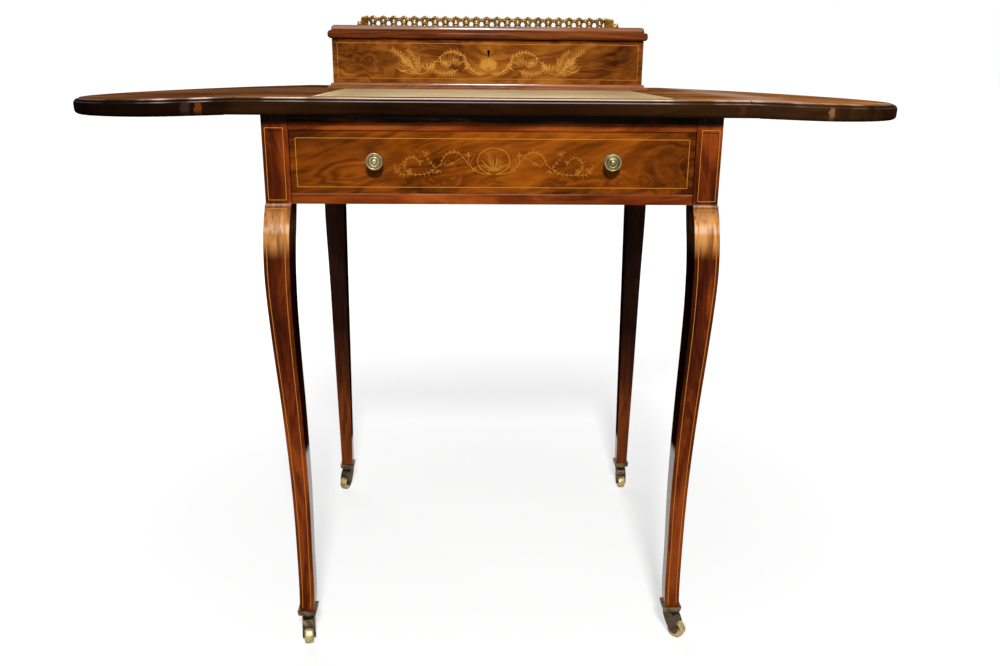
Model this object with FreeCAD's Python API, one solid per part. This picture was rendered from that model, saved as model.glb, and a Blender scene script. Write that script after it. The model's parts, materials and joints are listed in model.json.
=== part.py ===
"""Drop-leaf lady's writing table with a lidded writing box (bonheur du jour).

Millimetres, +Z up, -Y the front, origin on the floor under the middle of the table.
Each piece is one solid, written to parts/NODE.step.
"""
import FreeCAD
import Part
import math
import os

V = FreeCAD.Vector
X_AXIS = V(1, 0, 0)
Y_AXIS = V(0, 1, 0)
Z_AXIS = V(0, 0, 1)
os.makedirs("parts", exist_ok=True)

# Frame
frame_width = 542.0        # over the leg blocks
frame_depth = 500.0
frieze_bottom = 610.0      # floor to the underside of the rails
frieze_height = 104.0
leg_block = 31.0           # side of the square block that heads each leg
rail_setback = 1.5         # rails and aprons lie behind the block faces
apron_thick = 18.0
rail_depth = 45.0
top_rail_height = 17.8
bottom_rail_height = 12.5
tenon_length = 9.0
tenon_thick = 8.0
tenon_shoulder = 3.0       # wood left above and below a tenon

# Legs
knee_out = 4.5             # how far the front knee stands out sideways past the block
knee_forward = 13.5        # and how far forward
knee_width = 31.2          # across the front face of the knee
knee_depth = 46.0          # from the front of the knee to the swell behind the block
ankle_draw = 9.3           # how far the ankle is drawn in behind the block
ankle_side = 19.8
back_swell = 5.5           # how far the back knee stands out past the block
back_side = 32.6
back_draw = 3.0            # inward rake of the back legs over their length
toe_height = 7.0           # straight end of the leg, inside the castor tray

# Top and leaves
top_thick = 20.0
top_overhang = 22.0        # past the blocks, front and back
end_overhang = 25.0        # past the blocks, to each rule joint
edge_round_top = 7.0
edge_round_under = 5.0
edge_quirk = 1.0           # step down from the flat of the top to its moulded edge
edge_land = 1.0            # narrow flat between that step and the round
joint_fillet = 3.0         # square step above the rule joint's round
joint_radius = 13.0
joint_gap = 0.4
leaf_length = 266.0
leaf_straight = 60.0       # straight side of a leaf before its corner
leaf_corner = 120.0        # radius of the corners, the crown between them is flatter
leaf_droop = 2.0           # degrees, the leaves hang this much below level
leather_margin_end = 50.0
leather_margin_front = 36.0
leather_margin_box = 12.0
leather_thick = 1.2

# Leaf hinges
hinge_length = 50.0
hinge_end = 77.0           # edge of the top to the near end of a hinge
hinge_flap = 30.0          # length of a flap past the joint
flap_thick = 1.8
hinge_pin_radius = 1.8
pin_clearance = 0.05
knuckle_gap = 0.4          # between neighbouring knuckles, and round them in their slot

# Lopers
loper_width = 30.0
loper_height = 11.0
loper_place = 30.0         # middle of both lopers along Y
loper_travel = 170.0
loper_nose = 8.0           # stands out past the apron, for the fingers
loper_apart = 20.0         # between the inner ends
slide_gap = 0.3
bed_floor = 3.0
bed_wall = 9.0

# Drawer
runner_width = 25.0
runner_thick = 12.0
guide_height = 20.0
drawer_gap_side = 0.5
drawer_gap_top = 0.8
drawer_back_room = 79.0    # behind the closed drawer, to the back apron
drawer_front_thick = 20.0
drawer_side_thick = 9.0
drawer_side_height = 62.0
drawer_back_thick = 8.0
drawer_lap = 6.0           # front wood left in front of the sides
drawer_bottom_thick = 4.5
drawer_bottom_lift = 7.0
groove_depth = 4.0
knob_end = 100.0           # end of the drawer front to the middle of a knob
knob_lift = 3.0            # above the middle of the drawer front
knob_radius = 10.4
knob_stem = 3.6
knob_reach = 20.0
knob_spigot_radius = 2.5
knob_spigot = 14.0

# Writing box
box_width = 467.0
box_depth = 172.0
box_inset = 10.0           # back edge of the top to the back of the box
box_height = 63.5
box_wall = 10.0
base_height = 8.0
base_out = 8.0
base_cove = 5.0
keyhole_radius = 2.3
keyhole_drop = 17.0        # below the top edge of the box
keyhole_length = 7.5
keyhole_slot = 2.4
lock_width = 46.0
lock_height = 26.0
lock_thick = 8.0
selvedge = 1.6             # brass let into the edge over the lock

# Lid, butts and gallery
lid_thick = 19.0
lid_out = 6.0
lid_gap = 0.3
lid_nose = 11.5            # height of the bullnosed lower edge
lid_step = 5.0             # upper edge set in from the nose
lid_round_nose = 4.5
lid_round_top = 5.0
lid_corner = 6.0
butt_end = 61.0            # end of the box to the near end of a butt
butt_length = 45.0
butt_radius = 3.2
butt_pin_radius = 1.4
butt_thick = 1.6
butt_flap = 9.0
butt_standoff = 0.4        # knuckle to the back of the box
link_length = 34.0
link_width = 7.0
gallery_end = 43.5         # end of the lid to the gallery
gallery_back = 10.0        # behind it, to the back edge of the lid
gallery_front = 12.0       # front edge of the lid to the side runs
gallery_height = 21.0
gallery_thick = 1.6
gallery_pitch = 17.1
gallery_band = 3.0         # solid strip along the foot
gallery_rail = 2.2         # solid strip under the crest
gallery_solid = 9.0        # solid head of a post, down from its crest
gallery_crest = 4.2
gallery_bar = 2.2          # width of a post's split bars
gallery_slope = 54.0       # length of the sloped front end of a side run
gallery_fall = 0.38        # share of its height a side run loses before that slope

# Castors
castor_height = 41.0       # floor to the underside of the tray
tray_floor = 2.5
tray_wall = 1.6
tray_height = 7.5
tray_flare = 1.2
tray_gap = 0.1
swivel_radius = 3.0
swivel_head = 4.0
swivel_head_thick = 1.6
horn_plate_radius = 8.5
horn_plate_thick = 5.0
horn_arm = 2.4
horn_boss = 5.0
wheel_radius = 12.0
wheel_width = 8.0
wheel_ease = 1.6           # chamfer of the wheel's edges
wheel_gap = 0.4
axle_radius = 2.0
castor_trail = 12.0
# Way each castor points in degrees, 0 towards the front and turning towards +X
castor_turn = {"front_left": 8.0, "front_right": 50.0, "back_left": -20.0, "back_right": 0.0}

# Levels and faces that follow from the sizes above
half_width = frame_width / 2
half_depth = frame_depth / 2
under_top = frieze_bottom + frieze_height
top_level = under_top + top_thick
joint_x = half_width + end_overhang
top_y = half_depth + top_overhang
axis_z = top_level - joint_fillet - joint_radius
knuckle_radius = axis_z - under_top
block_inner_x = half_width - leg_block
block_inner_y = half_depth - leg_block
apron_outer_x = half_width - rail_setback
apron_inner_x = apron_outer_x - apron_thick
rail_front = -half_depth + rail_setback
rail_back = rail_front + rail_depth
opening_low = frieze_bottom + bottom_rail_height
opening_high = under_top - top_rail_height
loper_end = apron_outer_x + loper_nose
reach = loper_end + loper_travel - joint_x
loper_top = under_top - reach * math.sin(math.radians(leaf_droop)) - slide_gap
loper_low = loper_top - loper_height
box_half = box_width / 2
box_back = top_y - box_inset
box_front = box_back - box_depth
box_low = top_level + base_height
box_top = box_low + box_height
lid_low = box_top + lid_gap
lid_top = lid_low + lid_thick
leg_foot = castor_height + tray_floor
nodes = {}


def box(x0, x1, y0, y1, z0, z1):
    """Rectangular block between two corners given in any order."""
    low = V(min(x0, x1), min(y0, y1), min(z0, z1))
    return Part.makeBox(abs(x1 - x0), abs(y1 - y0), abs(z1 - z0), low)


def rod(start, way, radius, length):
    """Round bar from a point along a direction."""
    return Part.makeCylinder(radius, length, start, way)


def face_of(edges):
    """Flat face inside a closed run of edges."""
    return Part.Face(Part.Wire(Part.__sortEdges__(edges)))


def flat(points):
    """Flat face of a polygon."""
    return Part.Face(Part.makePolygon(points + [points[0]]))


def arc(start, through, end):
    """Circular arc edge through three points."""
    return Part.Arc(start, through, end).toShape()


def line(start, end):
    """Straight edge."""
    return Part.makeLine(start, end)


def other_side(shape):
    """Copy mirrored from the right half of the table to the left."""
    return shape.mirror(V(0, 0, 0), X_AXIS)


def edges_at(shape, test):
    """Edges whose ends and middle all satisfy a test."""
    picked = []
    for edge in shape.Edges:
        middle = edge.valueAt((edge.FirstParameter + edge.LastParameter) / 2)
        if all(test(p) for p in [middle] + [v.Point for v in edge.Vertexes]):
            picked.append(edge)
    return picked


def near(a, b):
    """True where two lengths agree."""
    return abs(a - b) < 1e-4


def section(x_out, y_out, width, depth, sx, sy, z):
    """Oblong wire of a leg section, placed by its outer faces."""
    xs = (sx * x_out, sx * (x_out - width))
    ys = (sy * y_out, sy * (y_out - depth))
    return Part.makePolygon([V(xs[0], ys[0], z), V(xs[1], ys[0], z), V(xs[1], ys[1], z),
                             V(xs[0], ys[1], z), V(xs[0], ys[0], z)])


# Legs. Each station of the front leg's template holds the share of the way down, then the
# shares of the knee's swell sideways and forward, of the ankle's draw, and of the knee's
# width and depth over the ankle's.
front_stations = (
    (0.000, 0.15, 0.22, 0.00, 1.00, 0.58), (0.013, 0.24, 0.35, 0.00, 1.00, 0.74),
    (0.027, 0.42, 0.51, 0.00, 1.00, 0.87), (0.041, 0.55, 0.68, 0.00, 1.00, 0.96),
    (0.057, 0.66, 0.82, 0.00, 1.00, 1.00), (0.080, 0.79, 0.94, 0.00, 1.00, 0.95),
    (0.110, 0.91, 1.00, 0.00, 1.00, 0.87), (0.145, 1.00, 1.00, 0.00, 0.98, 0.81),
    (0.190, 1.00, 0.88, 0.01, 0.92, 0.76), (0.241, 0.95, 0.65, 0.05, 0.82, 0.70),
    (0.300, 0.89, 0.44, 0.15, 0.73, 0.63), (0.370, 0.83, 0.25, 0.32, 0.62, 0.54),
    (0.440, 0.71, 0.12, 0.50, 0.52, 0.46), (0.520, 0.56, 0.03, 0.68, 0.41, 0.37),
    (0.603, 0.40, 0.00, 0.84, 0.31, 0.28), (0.687, 0.23, 0.00, 0.95, 0.22, 0.19),
    (0.772, 0.10, 0.00, 1.00, 0.13, 0.10), (0.880, 0.02, 0.00, 1.00, 0.05, 0.03),
    (1.000, 0.00, 0.00, 0.889, 0.00, 0.00))
# The back leg swells at the knee too, then tapers straight: the share of the way down, of the
# swell and of the fullness.
back_stations = (
    (0.00, 0.45, 0.96), (0.04, 0.74, 0.98), (0.12, 1.00, 1.00), (0.30, 0.80, 0.80),
    (0.55, 0.51, 0.51), (0.80, 0.23, 0.23), (1.00, 0.00, 0.00))
toe_top = leg_foot + toe_height
leg_run = frieze_bottom - toe_top
feet = {}


def leg(sx, sy):
    """Block, shaped leg and straight toe in one piece of wood."""
    if sy < 0:
        shape = [(down, knee_out * side - ankle_draw * draw, knee_forward * ahead - ankle_draw * draw,
                  ankle_side + (knee_width - ankle_side) * wide,
                  ankle_side + (knee_depth - ankle_side) * deep)
                 for down, side, ahead, draw, wide, deep in front_stations]
    else:
        shape = [(down, back_swell * swell - back_draw * (1 - full), back_swell * swell,
                  ankle_side + (back_side - ankle_side) * full, ankle_side + (back_side - ankle_side) * full)
                 for down, swell, full in back_stations]
    wires = []
    for down, out_x, out_y, width, depth in shape:
        z = frieze_bottom - down * leg_run
        wires.append(section(half_width + out_x, half_depth + out_y, width, depth, sx, sy, z))
    shaft = Part.makeLoft(wires, True, False)
    toe_x = half_width + shape[-1][1]
    toe_y = half_depth + shape[-1][2]
    block = box(sx * half_width, sx * block_inner_x, sy * half_depth, sy * block_inner_y,
                frieze_bottom, under_top)
    toe = box(sx * toe_x, sx * (toe_x - ankle_side), sy * toe_y, sy * (toe_y - ankle_side),
              leg_foot, toe_top)
    foot = V(sx * (toe_x - ankle_side / 2), sy * (toe_y - ankle_side / 2), 0)
    return block.fuse([shaft, toe]).removeSplitter(), foot


corners = {"front_left": (-1, -1), "front_right": (1, -1), "back_left": (-1, 1), "back_right": (1, 1)}
legs = {}
for corner, (sx, sy) in corners.items():
    legs[corner], feet[corner] = leg(sx, sy)

# Rails and aprons, with tenons cut into the leg blocks
tenon_x = block_inner_x + tenon_length
tenon_y = block_inner_y + tenon_length
apron_mid = (apron_outer_x + apron_inner_x) / 2
back_outer = half_depth - rail_setback
back_mid = back_outer - apron_thick / 2
rail_tenon_mid = (-half_depth - block_inner_y) / 2
shoulder_low = frieze_bottom + tenon_shoulder
shoulder_high = under_top - tenon_shoulder


def tenons_along_x(y_mid, z0, z1):
    """Tongue that runs through a cross rail into both leg blocks."""
    return box(-tenon_x, tenon_x, y_mid - tenon_thick / 2, y_mid + tenon_thick / 2, z0, z1)


tongue_top = tenons_along_x(rail_tenon_mid, opening_high + tenon_shoulder, shoulder_high)
tongue_bottom = tenons_along_x(rail_tenon_mid, shoulder_low, opening_low - tenon_shoulder)
tongue_back = tenons_along_x(back_mid, shoulder_low, shoulder_high)
tongue_side = box(apron_mid - tenon_thick / 2, apron_mid + tenon_thick / 2, -tenon_y, tenon_y,
                  shoulder_low, shoulder_high)
tongues = [tongue_top, tongue_bottom, tongue_back, tongue_side, other_side(tongue_side)]
for corner in legs:
    nodes["leg_" + corner] = legs[corner].cut(tongues)

rail = box(-block_inner_x, block_inner_x, rail_front, rail_back, opening_high, under_top)
nodes["rail_top"] = rail.fuse(tongue_top)
rail = box(-block_inner_x, block_inner_x, rail_front, rail_back, frieze_bottom, opening_low)
nodes["rail_bottom"] = rail.fuse(tongue_bottom)
rail = box(-block_inner_x, block_inner_x, back_outer - apron_thick, back_outer, frieze_bottom, under_top)
nodes["apron_back"] = rail.fuse(tongue_back)
loper_y0 = loper_place - loper_width / 2
loper_y1 = loper_place + loper_width / 2
loper_slot = box(apron_inner_x, apron_outer_x, loper_y0 - slide_gap, loper_y1 + slide_gap,
                 loper_low - slide_gap, loper_top + slide_gap)
apron = box(apron_inner_x, apron_outer_x, -block_inner_y, block_inner_y, frieze_bottom, under_top)
apron = apron.fuse(tongue_side).cut(loper_slot)
nodes["apron_right"] = apron
nodes["apron_left"] = other_side(apron)

# Drawer runners, L-shaped: a bar under the drawer side and a guide beside it
runner_in = block_inner_x - runner_width
runner_profile = [(apron_inner_x, opening_low - runner_thick), (runner_in, opening_low - runner_thick),
                  (runner_in, opening_low), (block_inner_x, opening_low),
                  (block_inner_x, opening_low + guide_height), (apron_inner_x, opening_low + guide_height)]
runner = flat([V(x, rail_back, z) for x, z in runner_profile]).extrude(V(0, block_inner_y - rail_back, 0))
nodes["runner_right"] = runner
nodes["runner_left"] = other_side(runner)

# Loper bed, a channel across the frame under the top
bed_y0 = loper_y0 - slide_gap
bed_y1 = loper_y1 + slide_gap
bed_low = loper_low - slide_gap - bed_floor
bed = box(-apron_inner_x, apron_inner_x, bed_y0 - bed_wall, bed_y1 + bed_wall, bed_low, under_top)
channel = box(-apron_inner_x, apron_inner_x, bed_y0, bed_y1, bed_low + bed_floor, under_top)
nodes["loper_bed"] = bed.cut(channel)

# Lopers with a rounded nose and a finger groove under it
loper = box(loper_apart / 2, loper_end, loper_y0, loper_y1, loper_low, loper_top)
nose_edges = edges_at(loper, lambda p: near(p.x, loper_end))
nose_edges = [e for e in nose_edges if near(e.BoundBox.ZLength, 0)]
loper = loper.makeFillet(loper_height / 4, nose_edges)
groove = rod(V(apron_outer_x + loper_nose / 3, loper_y0, loper_low), Y_AXIS, loper_height / 5, loper_width)
loper = loper.cut(groove)
nodes["loper_right"] = loper
nodes["loper_left"] = other_side(loper)

# Fixed top with a rounded ledge at each end, which the leaves turn about
board_x = joint_x + joint_radius
shoulder = top_level - edge_quirk
edge_inset = edge_round_top + edge_land
board = box(-board_x, board_x, -top_y, top_y, under_top, shoulder)
for radius, z in ((edge_round_top, shoulder), (edge_round_under, under_top)):
    rim = edges_at(board, lambda p: near(abs(p.y), top_y) and near(p.z, z))
    board = board.makeFillet(radius, rim)
field = box(-board_x, board_x, -top_y + edge_inset, top_y - edge_inset, shoulder, top_level)
board = board.fuse(field).removeSplitter()
past_ovolo = box(joint_x, board_x, -top_y, top_y, under_top, top_level)
past_ovolo = past_ovolo.cut(rod(V(joint_x, -top_y, axis_z), Y_AXIS, joint_radius, 2 * top_y))
base_front = box_front - base_out
leather_x = joint_x - leather_margin_end
leather = box(-leather_x, leather_x, -top_y + leather_margin_front, base_front - leather_margin_box,
              top_level - leather_thick, top_level)
nodes["leather"] = leather


def leaf_blank():
    """Right leaf from the joint out: straight sides, rounded corners, a flatter crown, a moulded edge."""
    run = leaf_length - leaf_straight
    rise = top_y - leaf_corner
    crown = (run ** 2 + rise ** 2 - leaf_corner ** 2) / (2 * (run - leaf_corner))
    corner_x = joint_x + leaf_straight
    crown_x = joint_x + leaf_length - crown
    turn = math.atan2(rise, corner_x - crown_x)
    half_turn = (turn + math.pi / 2) / 2

    def outline(inset, z):
        """The leaf's plan at a height, its free edges drawn in by an inset."""
        corner = leaf_corner - inset
        side = top_y - inset

        def on_corner(angle, sy):
            return V(corner_x + corner * math.cos(angle), sy * (rise + corner * math.sin(angle)), z)

        edges = [line(V(joint_x, side, z), V(joint_x, -side, z))]
        for sy in (-1, 1):
            edges.append(line(V(joint_x, sy * side, z), on_corner(math.pi / 2, sy)))
            edges.append(arc(on_corner(math.pi / 2, sy), on_corner(half_turn, sy), on_corner(turn, sy)))
        tip = V(joint_x + leaf_length - inset, 0, z)
        edges.append(arc(on_corner(turn, -1), tip, on_corner(turn, 1)))
        return face_of(edges)

    blank = outline(0, under_top).extrude(V(0, 0, top_thick - edge_quirk))
    for radius, z in ((edge_round_top, shoulder), (edge_round_under, under_top)):
        rim = edges_at(blank, lambda p: near(p.z, z))
        free = [e for e in rim if e.BoundBox.XMax > joint_x + leaf_straight / 2]
        blank = blank.makeFillet(radius, free)
    return blank.fuse(outline(edge_inset, shoulder).extrude(V(0, 0, edge_quirk))).removeSplitter()


leaf_inner = joint_radius + joint_gap
leaf = leaf_blank()
leaf = leaf.cut([rod(V(joint_x, -top_y, axis_z), Y_AXIS, leaf_inner, 2 * top_y),
                 box(joint_x, joint_x + leaf_inner, -top_y, top_y, under_top, axis_z),
                 box(joint_x, joint_x + joint_gap, -top_y, top_y, axis_z, top_level)])

# Leaf hinges: the knuckles turn on the rule joint's own centre, the flaps lie flush below
knuckle = hinge_length / 3
flap_x0 = joint_x - hinge_flap
flap_x1 = joint_x + leaf_inner + hinge_flap
knuckle_clear = knuckle_radius + knuckle_gap
flap_top = under_top + flap_thick
hinge_y0 = {"front": -top_y + hinge_end, "back": top_y - hinge_end - hinge_length}
fixed_flaps = {}
leaf_flaps = {}
board_cuts = [past_ovolo, other_side(past_ovolo), leather]
leaf_cuts = []
for place, y0 in hinge_y0.items():
    y1 = y0 + hinge_length
    m0 = y0 + knuckle
    m1 = y1 - knuckle
    barrel = rod(V(joint_x, m0, axis_z), Y_AXIS, knuckle_radius, m1 - m0)
    pin = rod(V(joint_x, y0, axis_z), Y_AXIS, hinge_pin_radius, hinge_length)
    fixed = box(flap_x0, joint_x - knuckle_clear, y0, y1, under_top, flap_top)
    fixed = fixed.fuse([box(flap_x0, joint_x, m0, m1, under_top, flap_top), barrel, pin])
    fixed_flaps[place] = fixed.removeSplitter()
    bore = rod(V(joint_x, y0, axis_z), Y_AXIS, hinge_pin_radius + pin_clearance, hinge_length)
    moving = box(joint_x + knuckle_clear, flap_x1, y0, y1, under_top, flap_top)
    ends = ((y0, m0 - knuckle_gap), (m1 + knuckle_gap, y1))
    moving = moving.fuse([box(joint_x, flap_x1, a, b, under_top, flap_top) for a, b in ends])
    moving = moving.fuse([rod(V(joint_x, a, axis_z), Y_AXIS, knuckle_radius, b - a) for a, b in ends])
    leaf_flaps[place] = moving.removeSplitter().cut(bore)
    leaf_cuts.append(box(joint_x, flap_x1, y0, y1, under_top, flap_top))
    slot = [box(flap_x0, joint_x - knuckle_clear, y0, y1, under_top, flap_top),
            box(joint_x - knuckle_clear, joint_x + knuckle_clear, y0 - knuckle_gap, y1 + knuckle_gap,
                under_top, axis_z + knuckle_clear),
            box(joint_x, board_x, y0 - knuckle_gap, y1 + knuckle_gap, under_top, flap_top + knuckle_gap)]
    board_cuts += slot + [other_side(s) for s in slot]

nodes["top_centre"] = board.cut(board_cuts)
leaf = leaf.cut(leaf_cuts)
leaf_axis = V(joint_x, 0, axis_z)
leaf.rotate(leaf_axis, Y_AXIS, leaf_droop)
nodes["leaf_right"] = leaf
nodes["leaf_left"] = other_side(leaf)
for place in hinge_y0:
    flap = leaf_flaps[place].copy()
    flap.rotate(leaf_axis, Y_AXIS, leaf_droop)
    nodes["leaf_flap_right_" + place] = flap
    nodes["leaf_flap_left_" + place] = other_side(flap)
    nodes["leaf_hinge_right_" + place] = fixed_flaps[place]
    nodes["leaf_hinge_left_" + place] = other_side(fixed_flaps[place])

# Drawer: lapped front, sides, back and a bottom let into grooves
drawer_x = block_inner_x - drawer_gap_side
drawer_low = opening_low + slide_gap
drawer_high = opening_high - drawer_gap_top
drawer_end = back_outer - apron_thick - drawer_back_room
front_inner = rail_front + drawer_front_thick
side_top = drawer_low + drawer_side_height
bottom_low = drawer_low + drawer_bottom_lift
bottom_high = bottom_low + drawer_bottom_thick
side_in = drawer_x - drawer_side_thick
side = box(side_in, drawer_x, rail_front + drawer_lap, drawer_end, drawer_low, side_top)
bottom = box(-side_in - groove_depth, side_in + groove_depth, front_inner - groove_depth, drawer_end,
             bottom_low, bottom_high)
knob_x = drawer_x - knob_end
knob_z = (drawer_low + drawer_high) / 2 + knob_lift
spigots = []
for sx in (-1, 1):
    spigots.append(rod(V(sx * knob_x, rail_front, knob_z), Y_AXIS, knob_spigot_radius, knob_spigot))
front = box(-drawer_x, drawer_x, rail_front, front_inner, drawer_low, drawer_high)
nodes["drawer_front"] = front.cut([side, other_side(side), bottom] + spigots)
nodes["drawer_right"] = side.cut(bottom)
nodes["drawer_left"] = other_side(nodes["drawer_right"])
nodes["drawer_back"] = box(-side_in, side_in, drawer_end - drawer_back_thick, drawer_end,
                           bottom_high, side_top)
nodes["drawer_bottom"] = bottom


def knob(sx):
    """Turned knob: spigot, rose, waisted stem and a dished head with a ring and a centre boss."""
    r = knob_radius
    h = knob_reach
    shank = [(0, -knob_spigot), (knob_spigot_radius, -knob_spigot), (knob_spigot_radius, 0),
             (0.86 * r, 0), (0.86 * r, 0.08 * h), (knob_stem, 0.22 * h), (knob_stem, 0.46 * h)]
    head = [(knob_stem, 0.46 * h), (0.92 * r, 0.68 * h), (r, 0.80 * h), (0.90 * r, 0.93 * h),
            (0.70 * r, 0.82 * h), (0.34 * r, 0.84 * h), (0.24 * r, h), (0, h)]

    def at(p):
        return V(sx * knob_x + p[0], rail_front - p[1], knob_z)

    return flat([at(p) for p in shank + head[1:]]).revolve(at((0, 0)), Y_AXIS, 360)


nodes["knob_left"] = knob(-1)
nodes["knob_right"] = knob(1)

# Writing box on a coved base, its ends between front and back
base = box(-box_half - base_out, box_half + base_out, base_front, box_back, top_level, box_low)
base_x = box_half + base_out
coves = [rod(V(-base_x, base_front, box_low), X_AXIS, base_cove, 2 * base_x)]
for sx in (-1, 1):
    coves.append(rod(V(sx * base_x, base_front, box_low), Y_AXIS, base_cove, box_back - base_front))
nodes["box_base"] = base.cut(coves)
wall_front = box_front + box_wall
key_z = box_top - keyhole_drop
keyhole = rod(V(0, box_front, key_z), Y_AXIS, keyhole_radius, box_wall + lock_thick / 2)
keyhole = keyhole.fuse(box(-keyhole_slot / 2, keyhole_slot / 2, box_front, wall_front + lock_thick / 2,
                           key_z - keyhole_length, key_z))
lock = box(-lock_width / 2, lock_width / 2, wall_front, wall_front + lock_thick,
           box_top - lock_height, box_top)
lock_lip = box(-lock_width / 2, lock_width / 2, wall_front - link_width, wall_front,
               box_top - selvedge, box_top)
nodes["box_lock"] = lock.fuse(lock_lip).removeSplitter().cut(keyhole)
front_wall = box(-box_half, box_half, box_front, wall_front, box_low, box_top)
nodes["box_front"] = front_wall.cut([keyhole, lock_lip])
end_wall = box(box_half - box_wall, box_half, wall_front, box_back - box_wall, box_low, box_top)
nodes["box_right"] = end_wall
nodes["box_left"] = other_side(end_wall)

# Lid with a moulded edge on three sides, on two butts behind the box
lid_x = box_half + lid_out
lid_front = box_front - lid_out
lid_mid = lid_low + lid_nose


def lid_layer(inset, low, high, rounds):
    """Board of the lid with rounded front corners, its edges rounded on three sides at given heights."""
    x = lid_x - inset
    front = lid_front + inset
    board = box(-x, x, front, box_back, low, high)
    board = board.makeFillet(lid_corner, edges_at(board, lambda p: near(p.y, front) and near(abs(p.x), x)))
    for radius, z in rounds:
        rim = edges_at(board, lambda p: near(p.z, z))
        board = board.makeFillet(radius, [e for e in rim if e.BoundBox.YMin < box_back - lid_corner])
    return board


lid = lid_layer(0, lid_low, lid_mid, ((lid_round_nose, lid_low), (lid_round_nose, lid_mid)))
lid = lid.fuse(lid_layer(lid_step, lid_mid, lid_top, ((lid_round_top, lid_top),))).removeSplitter()
link = box(-link_length / 2, link_length / 2, wall_front - link_width, wall_front,
           lid_low, lid_low + selvedge)
nodes["lock_link"] = link
butt_y = box_back + butt_radius + butt_standoff
butt_z = (box_top + lid_low) / 2
butt_third = butt_length / 3
butt_x = box_half - butt_end - butt_length / 2
back_cuts = []
lid_cuts = [link]
for name, middle in (("left", -butt_x), ("right", butt_x)):
    x0 = middle - butt_length / 2
    x1 = middle + butt_length / 2
    m0 = x0 + butt_third
    m1 = x1 - butt_third
    sunk = box(x0, x1, box_back - butt_flap, box_back, box_top - butt_thick, box_top)
    fixed = sunk.fuse([box(m0, m1, box_back, butt_y, box_top - butt_thick, box_top),
                       rod(V(m0, butt_y, butt_z), X_AXIS, butt_radius, m1 - m0),
                       rod(V(x0, butt_y, butt_z), X_AXIS, butt_pin_radius, butt_length)])
    nodes["lid_butt_" + name] = fixed.removeSplitter()
    back_cuts.append(sunk)
    sunk = box(x0, x1, box_back - butt_flap, box_back, lid_low, lid_low + butt_thick)
    ends = ((x0, m0 - knuckle_gap), (m1 + knuckle_gap, x1))
    moving = sunk.fuse([box(a, b, box_back, butt_y, lid_low, lid_low + butt_thick) for a, b in ends])
    moving = moving.fuse([rod(V(a, butt_y, butt_z), X_AXIS, butt_radius, b - a) for a, b in ends])
    bore = rod(V(x0, butt_y, butt_z), X_AXIS, butt_pin_radius + pin_clearance, butt_length)
    nodes["lid_flap_" + name] = moving.removeSplitter().cut(bore)
    lid_cuts.append(sunk)
nodes["box_back"] = box(-box_half, box_half, box_back - box_wall, box_back, box_low, box_top).cut(back_cuts)
nodes["lid"] = lid.cut(lid_cuts)


def gallery_run(length, ramp):
    """Pierced strip in the XZ plane: crests on split posts over a foot band. A ramped run falls along its
    length and ends in a pierced slope."""
    run = length - ramp * gallery_slope
    cells = max(1, round(run / gallery_pitch))
    pitch = run / cells
    crest_low = gallery_height - gallery_crest

    def fall(x, z):
        """Point of the strip, brought down towards the foot band along a ramped run."""
        return V(x, 0, gallery_band + (z - gallery_band) * (1 - ramp * gallery_fall * x / run))

    def opening(x, z, half_x, half_z):
        """Six-sided piercing with a point above and below."""
        ring = ((0, -1), (1, -0.5), (1, 0.5), (0, 1), (-1, 0.5), (-1, -0.5))
        return [fall(x + half_x * a, z + half_z * b) for a, b in ring]

    top = []
    holes = []
    leg_z = gallery_band + gallery_bar / 2
    split_z = gallery_height - gallery_solid
    for k in range(cells):
        x0 = k * pitch
        xm = x0 + pitch / 2
        for share, lift in ((0.0, 0.0), (0.3, 0.5), (0.5, 1.0), (0.7, 0.5)):
            top.append(fall(x0 + pitch * share, crest_low + gallery_crest * lift))
        holes.append([fall(xm - gallery_bar, leg_z), fall(xm + gallery_bar, leg_z), fall(xm, split_z)])
        if k > 0:
            high = crest_low - gallery_rail
            holes.append(opening(x0, (high + leg_z) / 2, pitch / 2 - 2 * gallery_bar, (high - leg_z) / 2))
    top.append(fall(run, crest_low))
    if ramp:
        top.append(V(length, 0, gallery_band))
        high = fall(run, crest_low).z - gallery_bar * 2
        holes.append([V(run + gallery_bar, 0, leg_z), V(run + gallery_slope * 0.62, 0, leg_z),
                      V(run + gallery_bar, 0, high)])
    thick = V(0, gallery_thick, 0)
    strip = flat([V(0, 0, 0)] + top + [V(length, 0, 0)]).extrude(thick)
    return strip.cut([flat(hole).extrude(thick) for hole in holes])


gallery_x = lid_x - gallery_end
gallery_y = box_back - gallery_back
back_run = gallery_run(2 * gallery_x, 0)
back_run.translate(V(-gallery_x, gallery_y - gallery_thick, lid_top))
side_run = gallery_run(gallery_y - lid_front - gallery_front, 1)
side_run.rotate(V(0, 0, 0), Z_AXIS, -90)
side_run.translate(V(gallery_x - gallery_thick, gallery_y, lid_top))
nodes["gallery_right"] = side_run.cut(back_run)
nodes["gallery_left"] = other_side(nodes["gallery_right"])
nodes["gallery_back"] = back_run

# Castors: square tray on the toe, swivelling horn and a brass wheel
horn_top = castor_height - slide_gap
plate_low = horn_top - horn_plate_thick
arm_in = wheel_width / 2 + wheel_gap
arm_out = arm_in + horn_arm


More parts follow.
